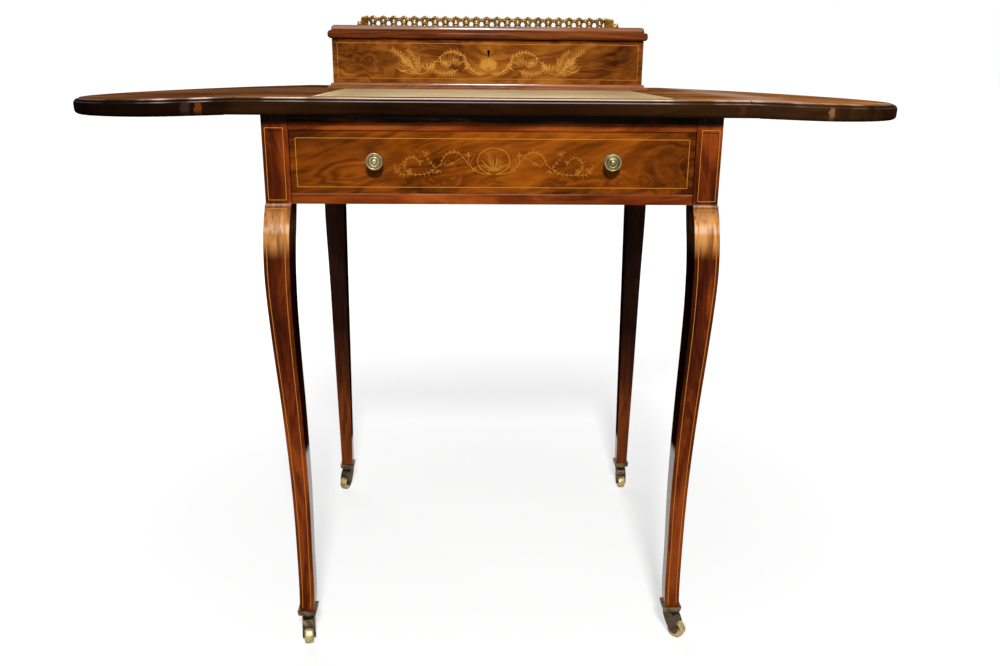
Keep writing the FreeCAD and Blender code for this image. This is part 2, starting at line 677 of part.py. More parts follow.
def tray():
    """Square flared tray with the swivel pin riveted through the horn's plate."""
    low_side = ankle_side + 2 * (tray_gap + tray_wall)
    high_side = low_side + 2 * tray_flare
    low = section(low_side / 2, low_side / 2, low_side, low_side, 1, 1, castor_height)
    high = section(high_side / 2, high_side / 2, high_side, high_side, 1, 1, castor_height + tray_height)
    inner = ankle_side / 2 + tray_gap
    cup = Part.makeLoft([low, high], True, True)
    cup = cup.cut(box(-inner, inner, -inner, inner, leg_foot, castor_height + tray_height))
    head_top = plate_low - slide_gap
    pin = rod(V(0, 0, head_top), Z_AXIS, swivel_radius, castor_height - head_top)
    head = rod(V(0, 0, head_top - swivel_head_thick), Z_AXIS, swivel_head, swivel_head_thick)
    return cup.fuse([pin, head])


def horn():
    """Swivel plate and two curved arms with the riveted axle, pointing to the front."""
    plate = rod(V(0, 0, plate_low), Z_AXIS, horn_plate_radius, horn_plate_thick)
    root = plate_low + horn_plate_thick / 5
    back = horn_plate_radius * 0.8
    slant = math.sqrt(0.5)

    def at(forward, z):
        return V(-arm_out, -forward, z)

    boss_front = at(castor_trail + horn_boss, wheel_radius)
    boss_low = at(castor_trail, wheel_radius - horn_boss)
    boss_turn = at(castor_trail + horn_boss * slant, wheel_radius - horn_boss * slant)
    edges = [line(at(-back, root), at(back, root)),
             arc(at(back, root), at(castor_trail + horn_boss * 0.6, (root + wheel_radius) / 2), boss_front),
             arc(boss_front, boss_turn, boss_low),
             arc(boss_low, at(castor_trail / 5, wheel_radius + horn_boss * 0.7), at(-back, root))]
    arm = face_of(edges).extrude(V(horn_arm, 0, 0))
    axle = rod(V(-arm_out, -castor_trail, wheel_radius), X_AXIS, axle_radius, 2 * arm_out)
    bore = rod(V(0, 0, plate_low), Z_AXIS, swivel_radius + pin_clearance, horn_plate_thick)
    return plate.fuse([arm, other_side(arm), axle]).removeSplitter().cut(bore)


def wheel():
    """Brass wheel with eased edges, bored for the axle."""
    half = wheel_width / 2
    bore = axle_radius + pin_clearance
    rim = wheel_radius - wheel_ease
    tread = half - wheel_ease
    outline = [(-half, bore), (-half, rim), (-tread, wheel_radius),
               (tread, wheel_radius), (half, rim), (half, bore)]
    face = flat([V(x, -castor_trail, wheel_radius + r) for x, r in outline])
    return face.revolve(V(0, -castor_trail, wheel_radius), X_AXIS, 360)


for corner, foot in feet.items():
    seat = tray()
    seat.translate(foot)
    nodes["castor_tray_" + corner] = seat
    for name, make in (("castor_horn_", horn), ("castor_wheel_", wheel)):
        turned = make()
        turned.rotate(V(0, 0, 0), Z_AXIS, castor_turn[corner])
        turned.translate(foot)
        nodes[name + corner] = turned

for name, shape in nodes.items():
    shape.exportStep("parts/" + name + ".step")
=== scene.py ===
"""Looks of a drop-leaf writing table: rosewood, boxwood inlay, aged brass and gilt-tooled leather.

Shapes are worked out in millimetres as whole arrays and turned to metres when they become meshes. Finishes,
lamps and camera are in metres.
"""
import json
import math
import bpy
import numpy as np
from mathutils import Matrix, Vector


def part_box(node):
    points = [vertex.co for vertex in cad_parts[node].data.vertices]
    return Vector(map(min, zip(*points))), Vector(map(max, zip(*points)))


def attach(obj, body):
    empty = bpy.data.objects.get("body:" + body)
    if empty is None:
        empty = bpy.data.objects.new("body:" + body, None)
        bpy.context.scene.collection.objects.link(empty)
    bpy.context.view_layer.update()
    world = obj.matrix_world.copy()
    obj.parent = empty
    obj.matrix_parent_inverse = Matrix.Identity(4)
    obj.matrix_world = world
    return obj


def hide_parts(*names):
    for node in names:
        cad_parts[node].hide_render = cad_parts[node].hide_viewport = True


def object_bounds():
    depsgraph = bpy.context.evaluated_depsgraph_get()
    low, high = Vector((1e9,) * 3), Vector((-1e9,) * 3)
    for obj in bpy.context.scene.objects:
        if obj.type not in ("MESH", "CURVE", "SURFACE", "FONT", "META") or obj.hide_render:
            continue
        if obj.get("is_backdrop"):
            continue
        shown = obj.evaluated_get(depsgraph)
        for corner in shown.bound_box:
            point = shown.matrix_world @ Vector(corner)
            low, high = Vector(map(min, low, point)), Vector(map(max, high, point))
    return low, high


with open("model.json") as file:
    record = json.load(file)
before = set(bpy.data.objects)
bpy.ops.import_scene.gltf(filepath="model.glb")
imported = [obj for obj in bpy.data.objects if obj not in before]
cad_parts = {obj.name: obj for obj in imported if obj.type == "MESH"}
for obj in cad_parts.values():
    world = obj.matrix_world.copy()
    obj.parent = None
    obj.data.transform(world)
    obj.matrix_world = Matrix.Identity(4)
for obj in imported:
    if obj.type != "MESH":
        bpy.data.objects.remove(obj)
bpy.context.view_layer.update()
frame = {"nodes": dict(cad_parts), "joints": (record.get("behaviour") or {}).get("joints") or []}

nodes = frame["nodes"]
joints = {j["name"]: j for j in frame["joints"]}
TAU = 2 * math.pi
MM = 0.001
TO_MM = 1000


# Skins: grids of points joined by quads

def lattice(rows, cols):
    """Quads between neighbouring rows of a grid whose rows are closed rings."""
    i, j = np.meshgrid(np.arange(rows - 1), np.arange(cols), indexing="ij")
    k = (j + 1) % cols
    here, after = i * cols, (i + 1) * cols
    return np.stack([here + j, here + k, after + k, after + j], -1).reshape(-1, 4)


def outward(points, faces):
    """Turns a closed skin so that the volume it holds, a sum of tetrahedra, is positive."""
    quads = faces[faces[:, 3] >= 0]
    corners = np.concatenate([faces[:, :3], quads[:, [0, 2, 3]]])
    a, b, c = points[corners].transpose(1, 0, 2)
    if (a * np.cross(b, c)).sum() < 0:
        faces = np.where(faces[:, 3:] < 0, faces[:, [2, 1, 0, 3]], faces[:, [0, 3, 2, 1]])
    return faces


def capped(sections, shade=0.5):
    """Closed skin of sections (n along, m round, 3): quads between them and a fan on each end."""
    n, m, _ = sections.shape
    points = np.concatenate([sections.reshape(-1, 3), sections[:1].mean(1), sections[-1:].mean(1)])
    j = np.arange(m)
    k = (j + 1) % m
    none = np.full(m, -1)
    low = np.stack([np.full(m, n * m), k, j, none], 1)
    high = np.stack([np.full(m, n * m + 1), (n - 1) * m + j, (n - 1) * m + k, none], 1)
    faces = outward(points, np.concatenate([lattice(n, m), low, high]))
    along = np.broadcast_to(shade, (n,))
    return points, faces, np.concatenate([np.repeat(along, m), along[[0, -1]]])


def put(name, skins, finish, body, stands_for=(), crease=40):
    """One piece from closed skins: joined into a mesh at the origin that rides on a body."""
    first = np.cumsum([0] + [len(s[0]) for s in skins])
    points = np.concatenate([s[0] for s in skins]) * MM
    faces = np.concatenate([np.where(s[1] < 0, -1, s[1] + c) for s, c in zip(skins, first)])
    shade = np.concatenate([s[2] for s in skins])
    used = faces >= 0
    sides = used.sum(1)
    mesh = bpy.data.meshes.new(name)
    mesh.vertices.add(len(points))
    mesh.vertices.foreach_set("co", points.ravel())
    mesh.loops.add(int(used.sum()))
    mesh.loops.foreach_set("vertex_index", faces[used].astype(np.int32))
    mesh.polygons.add(len(faces))
    mesh.polygons.foreach_set("loop_start", (np.cumsum(sides) - sides).astype(np.int32))
    mesh.update(calc_edges=True)
    mesh.shade_smooth()
    mesh.set_sharp_from_angle(angle=math.radians(crease))
    mesh.attributes.new("shade", "FLOAT", "POINT")
    mesh.attributes["shade"].data.foreach_set("value", shade.astype(np.float32))
    mesh.materials.append(finish)
    piece = bpy.data.objects.new(name, mesh)
    bpy.context.scene.collection.objects.link(piece)
    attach(piece, body)
    if stands_for:
        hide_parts(*stands_for)


# Lines and what is carried along them

def through(points, steps=12):
    """Smooth line through points: cubic Hermite spans, each tangent half the chord of its neighbours."""
    p = np.asarray(points, float)
    m = np.gradient(p, axis=0)
    t = np.linspace(0, 1, steps, endpoint=False)[:, None]
    a, b, ma, mb = p[:-1, None], p[1:, None], m[:-1, None], m[1:, None]
    spans = (2 * t**3 - 3 * t**2 + 1) * a + (t**3 - 2 * t**2 + t) * ma
    spans = spans + (3 * t**2 - 2 * t**3) * b + (t**3 - t**2) * mb
    return np.concatenate([spans.reshape(-1, p.shape[1]), p[-1:]])


def sideways(line):
    """Unit directions at right angles to a flat line."""
    way = np.gradient(line, axis=0)
    way /= np.linalg.norm(way, axis=1, keepdims=True)
    return np.stack([-way[:, 1], way[:, 0]], 1)


def carried(line, half, across, out, face, shade=0.5):
    """Skin of one section along a flat line: `across` in half widths from the line, `out` from the face."""
    half = np.broadcast_to(half, (len(line),))
    flat = line[:, None] + sideways(line)[:, None] * (half[:, None] * across)[..., None]
    return capped(face(flat[..., 0], flat[..., 1], np.broadcast_to(out, flat.shape[:2])), shade)


def inlaid(line, half, face, shade=0.5, lift=0.1, sink=0.5):
    """Strip let into a face along a line: sides sunk, a low crown just proud, ends closed."""
    across = np.array([-1, -1, 0, 1, 1])
    out = np.array([-sink, 0.5 * lift, lift, 0.5 * lift, -sink])
    return carried(line, half, across, out, face, shade)


def wire(line, half, thick, face, sides=8):
    """Bar of oval section along a flat line: half across the line, thick out of the plane."""
    t = np.linspace(0, TAU, sides, endpoint=False)
    return carried(line, half, np.cos(t), thick * np.sin(t), face)


def rings(profile, steps, place):
    """Rings round an axis: one of radius r at height h for each (r, h) of a profile."""
    r, h = np.asarray(profile, float).T[:, :, None]
    t = np.linspace(0, TAU, steps, endpoint=False)
    return place(r * np.cos(t), r * np.sin(t), np.broadcast_to(h, (len(r), steps)))


def turned(profile, steps, place):
    """Turned form: the rings of a profile, closed on the axis at both ends."""
    return capped(rings(profile, steps, place))


def hooped(profile, steps, place):
    """Ring turned from a closed profile, open through its middle."""
    points = rings(profile, steps, place).reshape(-1, 3)
    faces = lattice(len(profile) + 1, steps) % len(points)
    return points, outward(points, faces), np.full(len(points), 0.5)


def facing_front(y):
    """Face that looks to the front at depth y: (across, up, out) become (x, y, z)."""
    return lambda across, up, out: np.stack([across, y - out, up], -1)


# Finishes

class Finish:
    """One material: a Principled shader and the nodes that feed it."""

    def __init__(self, name, **constant):
        self.material = bpy.data.materials.new(name)
        self.material.use_nodes = True
        self.tree = self.material.node_tree
        self.shader = self.tree.nodes["Principled BSDF"]
        for socket, value in constant.items():
            self.shader.inputs[socket.replace("_", " ")].default_value = value

    def add(self, kind, ins=(), out=0, **settings):
        """New node with its settings and inputs; gives one of its outputs."""
        node = self.tree.nodes.new("ShaderNode" + kind)
        for key, value in settings.items():
            setattr(node, key, value)
        for key, value in dict(ins).items():
            if isinstance(value, bpy.types.NodeSocket):
                self.tree.links.new(value, node.inputs[key])
            else:
                node.inputs[key].default_value = value
        return node.outputs[out]

    def math(self, operation, a, b=0.0, c=0.0):
        """One sum on numbers or sockets."""
        return self.add("Math", {0: a, 1: b, 2: c}, operation=operation)

    def part(self, vector, axis):
        """X, Y or Z of a vector."""
        return self.add("SeparateXYZ", {0: vector}, out=axis)

    def noise(self, vector, detail=3.0, roughness=0.5, distortion=0.0):
        """Noise between 0 and 1 at scale 1 of the given vector."""
        look = {"Scale": 1.0, "Detail": detail, "Roughness": roughness, "Distortion": distortion}
        return self.add("TexNoise", {"Vector": vector, **look})

    def stretch(self, vector, scale, turn=(0, 0, 0), shift=(0, 0, 0)):
        """Vector turned, scaled and shifted."""
        change = {"Scale": scale, "Rotation": turn, "Location": shift}
        return self.add("Mapping", {"Vector": vector, **change})

    def ramp(self, value, *stops):
        """Colour at a value, blended between (place, colour) stops."""
        node = self.tree.nodes.new("ShaderNodeValToRGB")
        self.tree.links.new(value, node.inputs[0])
        bar = node.color_ramp.elements
        while len(bar) < len(stops):
            bar.new(1.0)
        for element, (place, colour) in zip(bar, stops):
            element.position = place
            element.color = (*colour, 1)
        return node.outputs[0]

    def blend(self, share, a, b, blend_type="MIX"):
        """Mix of two colours, each a socket or three numbers."""
        a, b = ((*c, 1) if isinstance(c, tuple) else c for c in (a, b))
        return self.add("Mix", {0: share, 6: a, 7: b}, out=2, data_type="RGBA", blend_type=blend_type)

    def span(self, value, low, high, to_low, to_high):
        """Value mapped from one range to another, held at its ends, eased."""
        ranges = {1: low, 2: high, 3: to_low, 4: to_high}
        return self.add("MapRange", {0: value, **ranges}, interpolation_type="SMOOTHSTEP")

    def window(self, value, low, full, fall, high, share=1.0):
        """Share inside a range: it rises from low to full and falls again from fall to high."""
        rise = self.span(value, low, full, 0.0, 1.0)
        return self.math("MULTIPLY", rise, self.span(value, fall, high, share, 0.0))

    def feed(self, socket, value):
        """Joins a value to one of the shader's sockets."""
        self.tree.links.new(value, self.shader.inputs[socket])

    def wire_up(self, colour, roughness, height, depth, strength):
        """Joins colour, roughness and a bump height to the shader."""
        bump = self.add("Bump", {"Height": height, "Strength": strength, "Distance": depth})
        for socket, value in (("Base Color", colour), ("Roughness", roughness), ("Normal", bump)):
            self.feed(socket, value)
        return self.material


def rgb(r, g, b):
    """Linear colour of an sRGB one given in 0 to 255."""
    c = np.array([r, g, b]) / 255
    return tuple(np.where(c <= 0.04045, c / 12.92, ((c + 0.055) / 1.055) ** 2.4))


def banded(f, z, streak, colour, coat, low, high, soft, painted_light_tint, share, shine=0.0):
    """Heights painted with a tint by a share, painted shade in some bands and painted light in others, and
    polished by a shine, soft at both ends and broken up by the streaks; a share over 1 leaves few gaps."""
    inside = f.window(z, low - soft, low, high, high + soft)
    inside = f.math("MULTIPLY", inside, f.span(streak, 0.35, 0.6, 0.3, 1.0))
    # The tint paints shade in some bands and light in others
    colour = f.blend(f.math("MULTIPLY", inside, share), colour, painted_light_tint)
    return colour, f.math("MULTIPLY_ADD", inside, shine, coat)


def inner_faces(f, x, z, colour, coat, height, soft=0.008):
    """Faces of a leg that look inwards: painted dark as shade and dull, but painted pale as a reflection
    and polished below a height.
    """
    inward = f.math("MULTIPLY", f.math("SIGN", x), f.part(f.add("TexCoord", out="Normal"), "X"))
    hidden = f.span(inward, -0.6, -0.3, 1.0, 0.0)
    # Painted shade: the inward faces darkened
    colour = f.blend(f.math("MULTIPLY", hidden, 0.85), colour, rgb(10, 4, 2))
    coat = f.math("MULTIPLY", coat, f.math("SUBTRACT", 1.0, hidden))
    # Painted reflection: the inward faces pale below a height; the coat added there is real polish
    rubbed = f.math("MULTIPLY", hidden, f.span(z, height - soft, height + soft, 1.0, 0.0))
    colour = f.blend(f.math("MULTIPLY", rubbed, 0.55), colour, rgb(176, 138, 98))
    return colour, f.math("MULTIPLY_ADD", rubbed, 0.9, coat)


def board_edge(f, place, patch, colour, coat, level, joint, droop, painted_light_tint, worn, painted_light_right_end, sheen, repairs):
    """Edge of the top and its leaves. Depth is taken from the upper surface, which droops past the joint.
    The wood is lightened towards the right as painted light, glossy round one place, painted dark on its
    edge as shade and darkest at the left; the arris and a fine line under it are painted pale for wear and
    highlights, most in the middle. Each repair on the front is a place across, a half width, a tint and a
    share."""
    x = f.part(place, "X")
    out = f.math("ABSOLUTE", x)
    past = f.math("MAXIMUM", f.math("SUBTRACT", out, joint), 0.0)
    slope = f.math("MULTIPLY", past, math.tan(math.radians(droop)))
    depth = f.math("SUBTRACT", f.math("SUBTRACT", level, slope), f.part(place, "Z"))
    ragged = f.math("ADD", depth, f.math("MULTIPLY_ADD", patch, 0.0006, -0.0003))
    # Painted light: the wood lightened and blued towards the right
    colour = f.blend(f.span(x, 0.12, 0.36, 0.0, 1.0), colour, painted_light_right_end, "MULTIPLY")
    from_sheen = f.math("ABSOLUTE", f.math("SUBTRACT", x, sheen))
    coat = f.math("ADD", coat, f.span(from_sheen, 0.015, 0.055, 0.14, 0.0))
    coat = f.math("MULTIPLY", coat, f.span(depth, 0.0004, 0.0014, 1.0, 0.2))
    # Painted shade: the edge below the upper surface darkened
    colour = f.blend(f.span(ragged, 0.0004, 0.0010, 0.0, 0.95), colour, painted_light_tint)
    darker = f.math("MULTIPLY", f.span(x, -0.31, -0.29, 0.5, 0.0), f.span(depth, 0.001, 0.003, 0.0, 1.0))
    colour = f.blend(darker, colour, rgb(4, 2, 1))
    # Painted highlights with wear: a pale arris and a fine pale line under it, uneven along the edge
    arris = f.window(ragged, 0.0001, 0.0005, 0.0010, 0.0020, 0.9)
    fine_line = f.window(ragged, 0.0034, 0.0040, 0.0044, 0.0052, 0.28)
    rubbed = f.span(f.noise(f.stretch(place, (19, 4, 4)), 2.0), 0.44, 0.60, 0.1, 1.0)
    rubbed = f.math("MAXIMUM", rubbed, f.span(out, 0.15, 0.25, 0.95, 0.0))
    rubbed = f.math("MULTIPLY", rubbed, f.span(out, 0.38, 0.46, 1.0, 0.25))
    colour = f.blend(f.math("MULTIPLY", f.math("MAXIMUM", arris, fine_line), rubbed), colour, worn)
    front = f.span(f.part(place, "Y"), -0.24, -0.22, 1.0, 0.0)
    front = f.math("MULTIPLY", front, f.span(depth, 0.003, 0.006, 0.0, 1.0))
    front = f.math("MULTIPLY", front, f.span(depth, 0.013, 0.016, 1.0, 0.4))
    chipped = f.noise(f.stretch(place, (160, 160, 160)), 3.0)
    for middle, half, filler, share in repairs:
        away = f.math("ADD", x, f.math("MULTIPLY_ADD", chipped, 0.010, -0.005 - middle))
        near = f.span(f.math("ABSOLUTE", away), half - 0.001, half + 0.001, share, 0.0)
        colour = f.blend(f.math("MULTIPLY", near, front), colour, filler)
    return colour, coat


GRAIN_TURN = {"X": (0, 0, 0), "Y": (0, 0, math.pi / 2), "Z": (0, math.pi / 2, 0)}
GROWTH_LINES = 34.0
FIBRE = (16, 640, 640)
PORE = (70, 1900, 1900)


def timber(name, grain, dark, mid, light, cloud, shift=(0, 0, 0), tilt=0.0, contrast=1.7,
           polish=(0.03, 0.07), gloss=0.2, ends=None, eyes=(), bands=(), legs=None, edge=None):
    """Polished veneer. Contour lines of a noise stretched along the grain give the growth figure and its
    dark veins; finer noises the streaks, fibres and pores. The polish is a thin coat, rubbed in places.
    `cloud` is the scale of the figure along and across the grain, `tilt` slants it, `ends` darkens it away
    from a centre, `eyes` are centres and reaches of oval figure, `bands` are heights of painted shade and
    painted light, `legs` is the height up to which a leg's inward faces, painted dark as shade, are
    painted pale as a reflection, `edge` is how a board's edge is painted with shade, highlights and wear."""
    f = Finish(name, Specular_IOR_Level=0.0, Coat_Roughness=gloss)
    place = f.add("TexCoord", out="Object")
    x, z = f.part(place, "X"), f.part(place, "Z")
    along = f.stretch(place, (1, 1, 1), GRAIN_TURN[grain], shift)
    along = f.stretch(along, (1, 1, 1), (0, tilt, 0))
    broad = f.noise(f.stretch(along, cloud), 3.0, 0.5, 1.2)
    for eye_x, eye_z, reach in eyes:
        wide = f.math("POWER", f.math("MULTIPLY", f.math("SUBTRACT", x, eye_x), 0.4), 2.0)
        tall = f.math("POWER", f.math("SUBTRACT", z, eye_z), 2.0)
        far = f.math("SQRT", f.math("ADD", wide, tall))
        broad = f.math("ADD", broad, f.span(far, 0.0, reach, 0.42, 0.0))
    ring = f.math("SINE", f.math("MULTIPLY", broad, GROWTH_LINES))
    wider = (cloud[0] * 0.8, cloud[1] * 0.6, cloud[2] * 0.6)
    finer = (cloud[0] * 2.2, cloud[1] * 4, cloud[2] * 4)
    patch = f.noise(f.stretch(along, wider, shift=(3, 1, 7)), 4.0, 0.6, 0.5)
    streak = f.noise(f.stretch(along, finer, shift=(1, 5, 2)), 4.0, 0.6, 0.8)
    fibre = f.noise(f.stretch(along, FIBRE), 4.0, 0.6)
    pore = f.noise(f.stretch(along, PORE), 1.0)
    tone = f.math("MULTIPLY_ADD", patch, contrast, 0.05 - 0.5 * contrast)
    for detail, share in ((ring, 0.13), (fibre, 0.3), (streak, 0.6)):
        tone = f.math("MULTIPLY_ADD", detail, share, tone)
    if ends:
        away = f.math("ABSOLUTE", f.math("SUBTRACT", x, ends["centre"]))
        tone = f.math("SUBTRACT", tone, f.span(away, ends["start"], ends["stop"], 0.0, ends["drop"]))
    colour = f.ramp(tone, (0.12, dark), (0.48, mid), (0.86, light))
    vein = f.math("MULTIPLY", f.span(ring, 0.72, 1.0, 0.0, 0.6), f.span(patch, 0.42, 0.58, 1.0, 0.0))
    colour = f.blend(vein, colour, dark)
    colour = f.blend(f.span(pore, 0.60, 0.72, 0.0, 0.35), colour, dark)
    coat = f.span(patch, 0.3, 0.7, *polish)
    # Bands of painted shade and painted light
    for painted_band in bands:
        colour, coat = banded(f, z, streak, colour, coat, **painted_band)
    # Inward faces of legs: painted shade, and a painted reflection low down
    if legs:
        colour, coat = inner_faces(f, x, z, colour, coat, legs)
    # Board edge: painted shade, painted highlights with wear, painted light
    if edge:
        colour, coat = board_edge(f, place, patch, colour, coat, **edge)
    f.feed("Coat Weight", coat)
    height = f.math("MULTIPLY_ADD", pore, -0.6, fibre)
    return f.wire_up(colour, f.span(fibre, 0.2, 0.8, 0.3, 0.5), height, depth=0.00012, strength=0.25)


def metal(name, bright, dull, stain, rough=(0.24, 0.5), scale=90.0, rim=(1, 1, 1)):
    """Old brass: bright where it is rubbed, dulled in broad patches, stained in small ones; `rim` tints it
    at a slant."""
    f = Finish(name, Metallic=1.0, Specular_Tint=(*rim, 1))
    place = f.add("TexCoord", out="Object")
    patch = f.noise(f.stretch(place, (scale,) * 3), 4.0, 0.6, 0.5)
    speck = f.noise(f.stretch(place, (scale * 9,) * 3), 3.0, 0.6)
    colour = f.blend(f.span(patch, 0.42, 0.62, 0.0, 1.0), bright, dull)
    colour = f.blend(f.span(speck, 0.56, 0.72, 0.0, 0.7), colour, stain)
    worn = f.math("MULTIPLY_ADD", speck, 0.5, f.math("MULTIPLY", patch, 0.5))
    return f.wire_up(colour, f.span(worn, 0.35, 0.65, *rough), speck, depth=0.00008, strength=0.25)


def boxwood(name, pale, burnt):
    """Inlay: pale wood with fine grain, burnt darker by hot sand where the shade attribute is high."""
    f = Finish(name, Specular_IOR_Level=0.0, Coat_Weight=0.15, Coat_Roughness=0.22)
    place = f.add("TexCoord", out="Object")
    shade = f.add("Attribute", out="Fac", attribute_name="shade")
    grain = f.noise(f.stretch(place, (120, 300, 700)), 3.0, 0.6)
    tone = f.math("MULTIPLY_ADD", grain, 0.6, f.math("SUBTRACT", shade, 0.3))
    colour = f.ramp(tone, (0.1, pale), (0.9, burnt))
    return f.wire_up(colour, f.span(grain, 0.2, 0.8, 0.26, 0.42), grain, depth=0.00006, strength=0.2)


# Pale tint of the painted highlights on arrises and ledges, which also reads as wear
PALE_WEAR_AND_HIGHLIGHT = rgb(206, 170, 140)
# Painted shadow: a dark band under the top's overhang, on the rails and the leg blocks
UNDER_TOP_PAINTED_SHADOW = dict(low=0.7062, high=0.72, soft=0.002, painted_light_tint=rgb(12, 5, 1), share=1.8)
# Painted highlight on the knees; the shine adds real polish
KNEE_PAINTED_HIGHLIGHT = dict(low=0.573, high=0.587, soft=0.030, painted_light_tint=rgb(222, 152, 74), share=0.72, shine=0.8)
# Painted glint: a narrow pale streak across the knee
KNEE_PAINTED_GLINT = dict(low=0.580, high=0.584, soft=0.006, painted_light_tint=rgb(255, 238, 214), share=0.24, shine=0.2)
# Painted highlight: a pale line on the ledge at the foot of each leg block
BLOCK_FOOT_PAINTED_HIGHLIGHT = dict(low=0.6085, high=0.6102, soft=0.0005, painted_light_tint=PALE_WEAR_AND_HIGHLIGHT, share=0.5, shine=0.3)
# Painted light: the back legs lighter towards the foot
BACK_FOOT_PAINTED_LIGHT = dict(low=0.0, high=0.13, soft=0.12, painted_light_tint=rgb(134, 64, 26), share=0.75)
# Painted highlight: a pale line on the top arris of the bottom rail
RAIL_ARRIS_PAINTED_HIGHLIGHT = dict(low=0.6216, high=0.6226, soft=0.0004, painted_light_tint=PALE_WEAR_AND_HIGHLIGHT, share=0.2, shine=0.1)
# Painted shadow: a dark band under the lid's overhang on the box
UNDER_LID_PAINTED_SHADOW = dict(low=0.8038, high=0.8070, soft=0.0022, painted_light_tint=rgb(14, 6, 2), share=0.85)
# Painted highlight on the lid's upper step; the shine adds real polish
LID_NOSE_PAINTED_HIGHLIGHT = dict(low=0.8195, high=0.8240, soft=0.0005, painted_light_tint=PALE_WEAR_AND_HIGHLIGHT, share=0.3, shine=0.8)
REPAIRS = ((-0.335, 0.003, rgb(98, 47, 17), 0.9), (-0.350, 0.005, rgb(58, 46, 36), 0.5),
           (0.3925, 0.0035, rgb(124, 90, 54), 0.9), (0.286, 0.003, rgb(70, 34, 18), 0.8))
# Top's edge: painted shade on its face, painted highlights with wear on its arris, painted light to the
# right
TOP_EDGE = dict(level=0.734, joint=0.296, droop=2.0, painted_light_tint=rgb(18, 8, 4), worn=rgb(222, 206, 194),
                painted_light_right_end=(2.5, 2.9, 3.4), sheen=0.335, repairs=REPAIRS)

rosewood_leg = timber(
    "rosewood_leg", "Z", rgb(38, 10, 2), rgb(84, 30, 5), rgb(130, 58, 16), (4, 26, 26), polish=(0.04, 0.09),
    bands=(UNDER_TOP_PAINTED_SHADOW, KNEE_PAINTED_HIGHLIGHT, KNEE_PAINTED_GLINT, BLOCK_FOOT_PAINTED_HIGHLIGHT), legs=0.283)
# Painted shade: the back legs are a darker copy of the leg wood
rosewood_back_painted_shade = timber(
    "rosewood_back_painted_shade", "Z", rgb(24, 9, 3), rgb(52, 21, 8), rgb(82, 38, 15), (4, 26, 26), bands=(BACK_FOOT_PAINTED_LIGHT,),
    legs=0.1)
rosewood_rail = timber(
    "rosewood_rail", "X", rgb(56, 17, 4), rgb(108, 44, 9), rgb(148, 72, 21), (4, 22, 22),
    bands=(UNDER_TOP_PAINTED_SHADOW, RAIL_ARRIS_PAINTED_HIGHLIGHT))
rosewood_side = timber(
    "rosewood_side", "Y", rgb(56, 20, 6), rgb(104, 44, 12), rgb(144, 68, 22), (4, 22, 22))
rosewood_drawer = timber(
    "rosewood_drawer", "X", rgb(58, 24, 3), rgb(116, 55, 7), rgb(156, 82, 15), (6, 19, 19),
    shift=(0.31, 0, 0.12), tilt=0.17, contrast=1.5,
    ends=dict(centre=0.05, start=0.07, stop=0.23, drop=0.24), eyes=((-0.17, 0.646, 0.022),))
rosewood_box = timber(
    "rosewood_box", "X", rgb(58, 26, 6), rgb(118, 63, 17), rgb(158, 98, 32), (8, 17, 17),
    shift=(0.12, 0, 0.4), tilt=-0.1, contrast=1.4, ends=dict(centre=0.0, start=0.1, stop=0.18, drop=0.08),
    eyes=((-0.19, 0.771, 0.034),), bands=(UNDER_LID_PAINTED_SHADOW,))
rosewood_lid = timber(
    "rosewood_lid", "X", rgb(52, 20, 6), rgb(104, 50, 18), rgb(140, 76, 30), (3, 22, 22),
    polish=(0.06, 0.12), gloss=0.14, bands=(LID_NOSE_PAINTED_HIGHLIGHT,))
# Painted highlight: the base moulding in lighter colours than the other rosewood; its heavy coat is real
# polish
rosewood_base_painted_highlight = timber(
    "rosewood_base_painted_highlight", "X", rgb(84, 42, 20), rgb(138, 80, 42), rgb(176, 112, 66), (3, 22, 22),
    polish=(0.6, 1.0), gloss=0.14)
rosewood_top = timber(
    "rosewood_top", "X", rgb(62, 30, 12), rgb(118, 68, 30), rgb(158, 100, 48), (3, 14, 14),
    polish=(0.0, 0.02), gloss=0.1, edge=TOP_EDGE)
lining = timber(
    "lining", "Y", rgb(96, 62, 34), rgb(138, 96, 56), rgb(170, 126, 80), (3, 24, 24), polish=(0.0, 0.04))
stringing = boxwood("stringing", rgb(188, 117, 39), rgb(140, 76, 22))
fine_marquetry = boxwood("fine_marquetry", rgb(184, 122, 38), rgb(132, 72, 14))
marquetry = boxwood("marquetry", rgb(214, 157, 65), rgb(126, 68, 16))
brass = metal("brass", rgb(156, 144, 106), rgb(108, 97, 66), rgb(46, 40, 25))
brass_wheel = metal("brass_wheel", rgb(188, 168, 118), rgb(134, 116, 76), rgb(70, 57, 36), (0.36, 0.58))
brass_gilt = metal(
    "brass_gilt", rgb(118, 86, 36), rgb(68, 46, 17), rgb(24, 16, 6), scale=160.0, rim=rgb(150, 112, 56))
# Painted light: the side runs of the gallery are a brighter copy of the gilt brass
brass_side_painted_light = metal(
    "brass_side_painted_light", rgb(176, 136, 66), rgb(112, 82, 36), rgb(44, 31, 12), scale=160.0, rim=rgb(214, 172, 100))
bronze = metal("bronze", rgb(124, 104, 78), rgb(80, 64, 46), rgb(38, 29, 20), (0.4, 0.62))
dark_bronze = metal("dark_bronze", rgb(86, 73, 58), rgb(58, 48, 37), rgb(26, 20, 14), (0.46, 0.66))
iron = metal("iron", rgb(40, 34, 28), rgb(22, 18, 15), rgb(12, 10, 8), (0.5, 0.7))

BANDING = 32.0
GILT_LINES = ((0.0014, 0.0044), (0.0150, 0.0178))


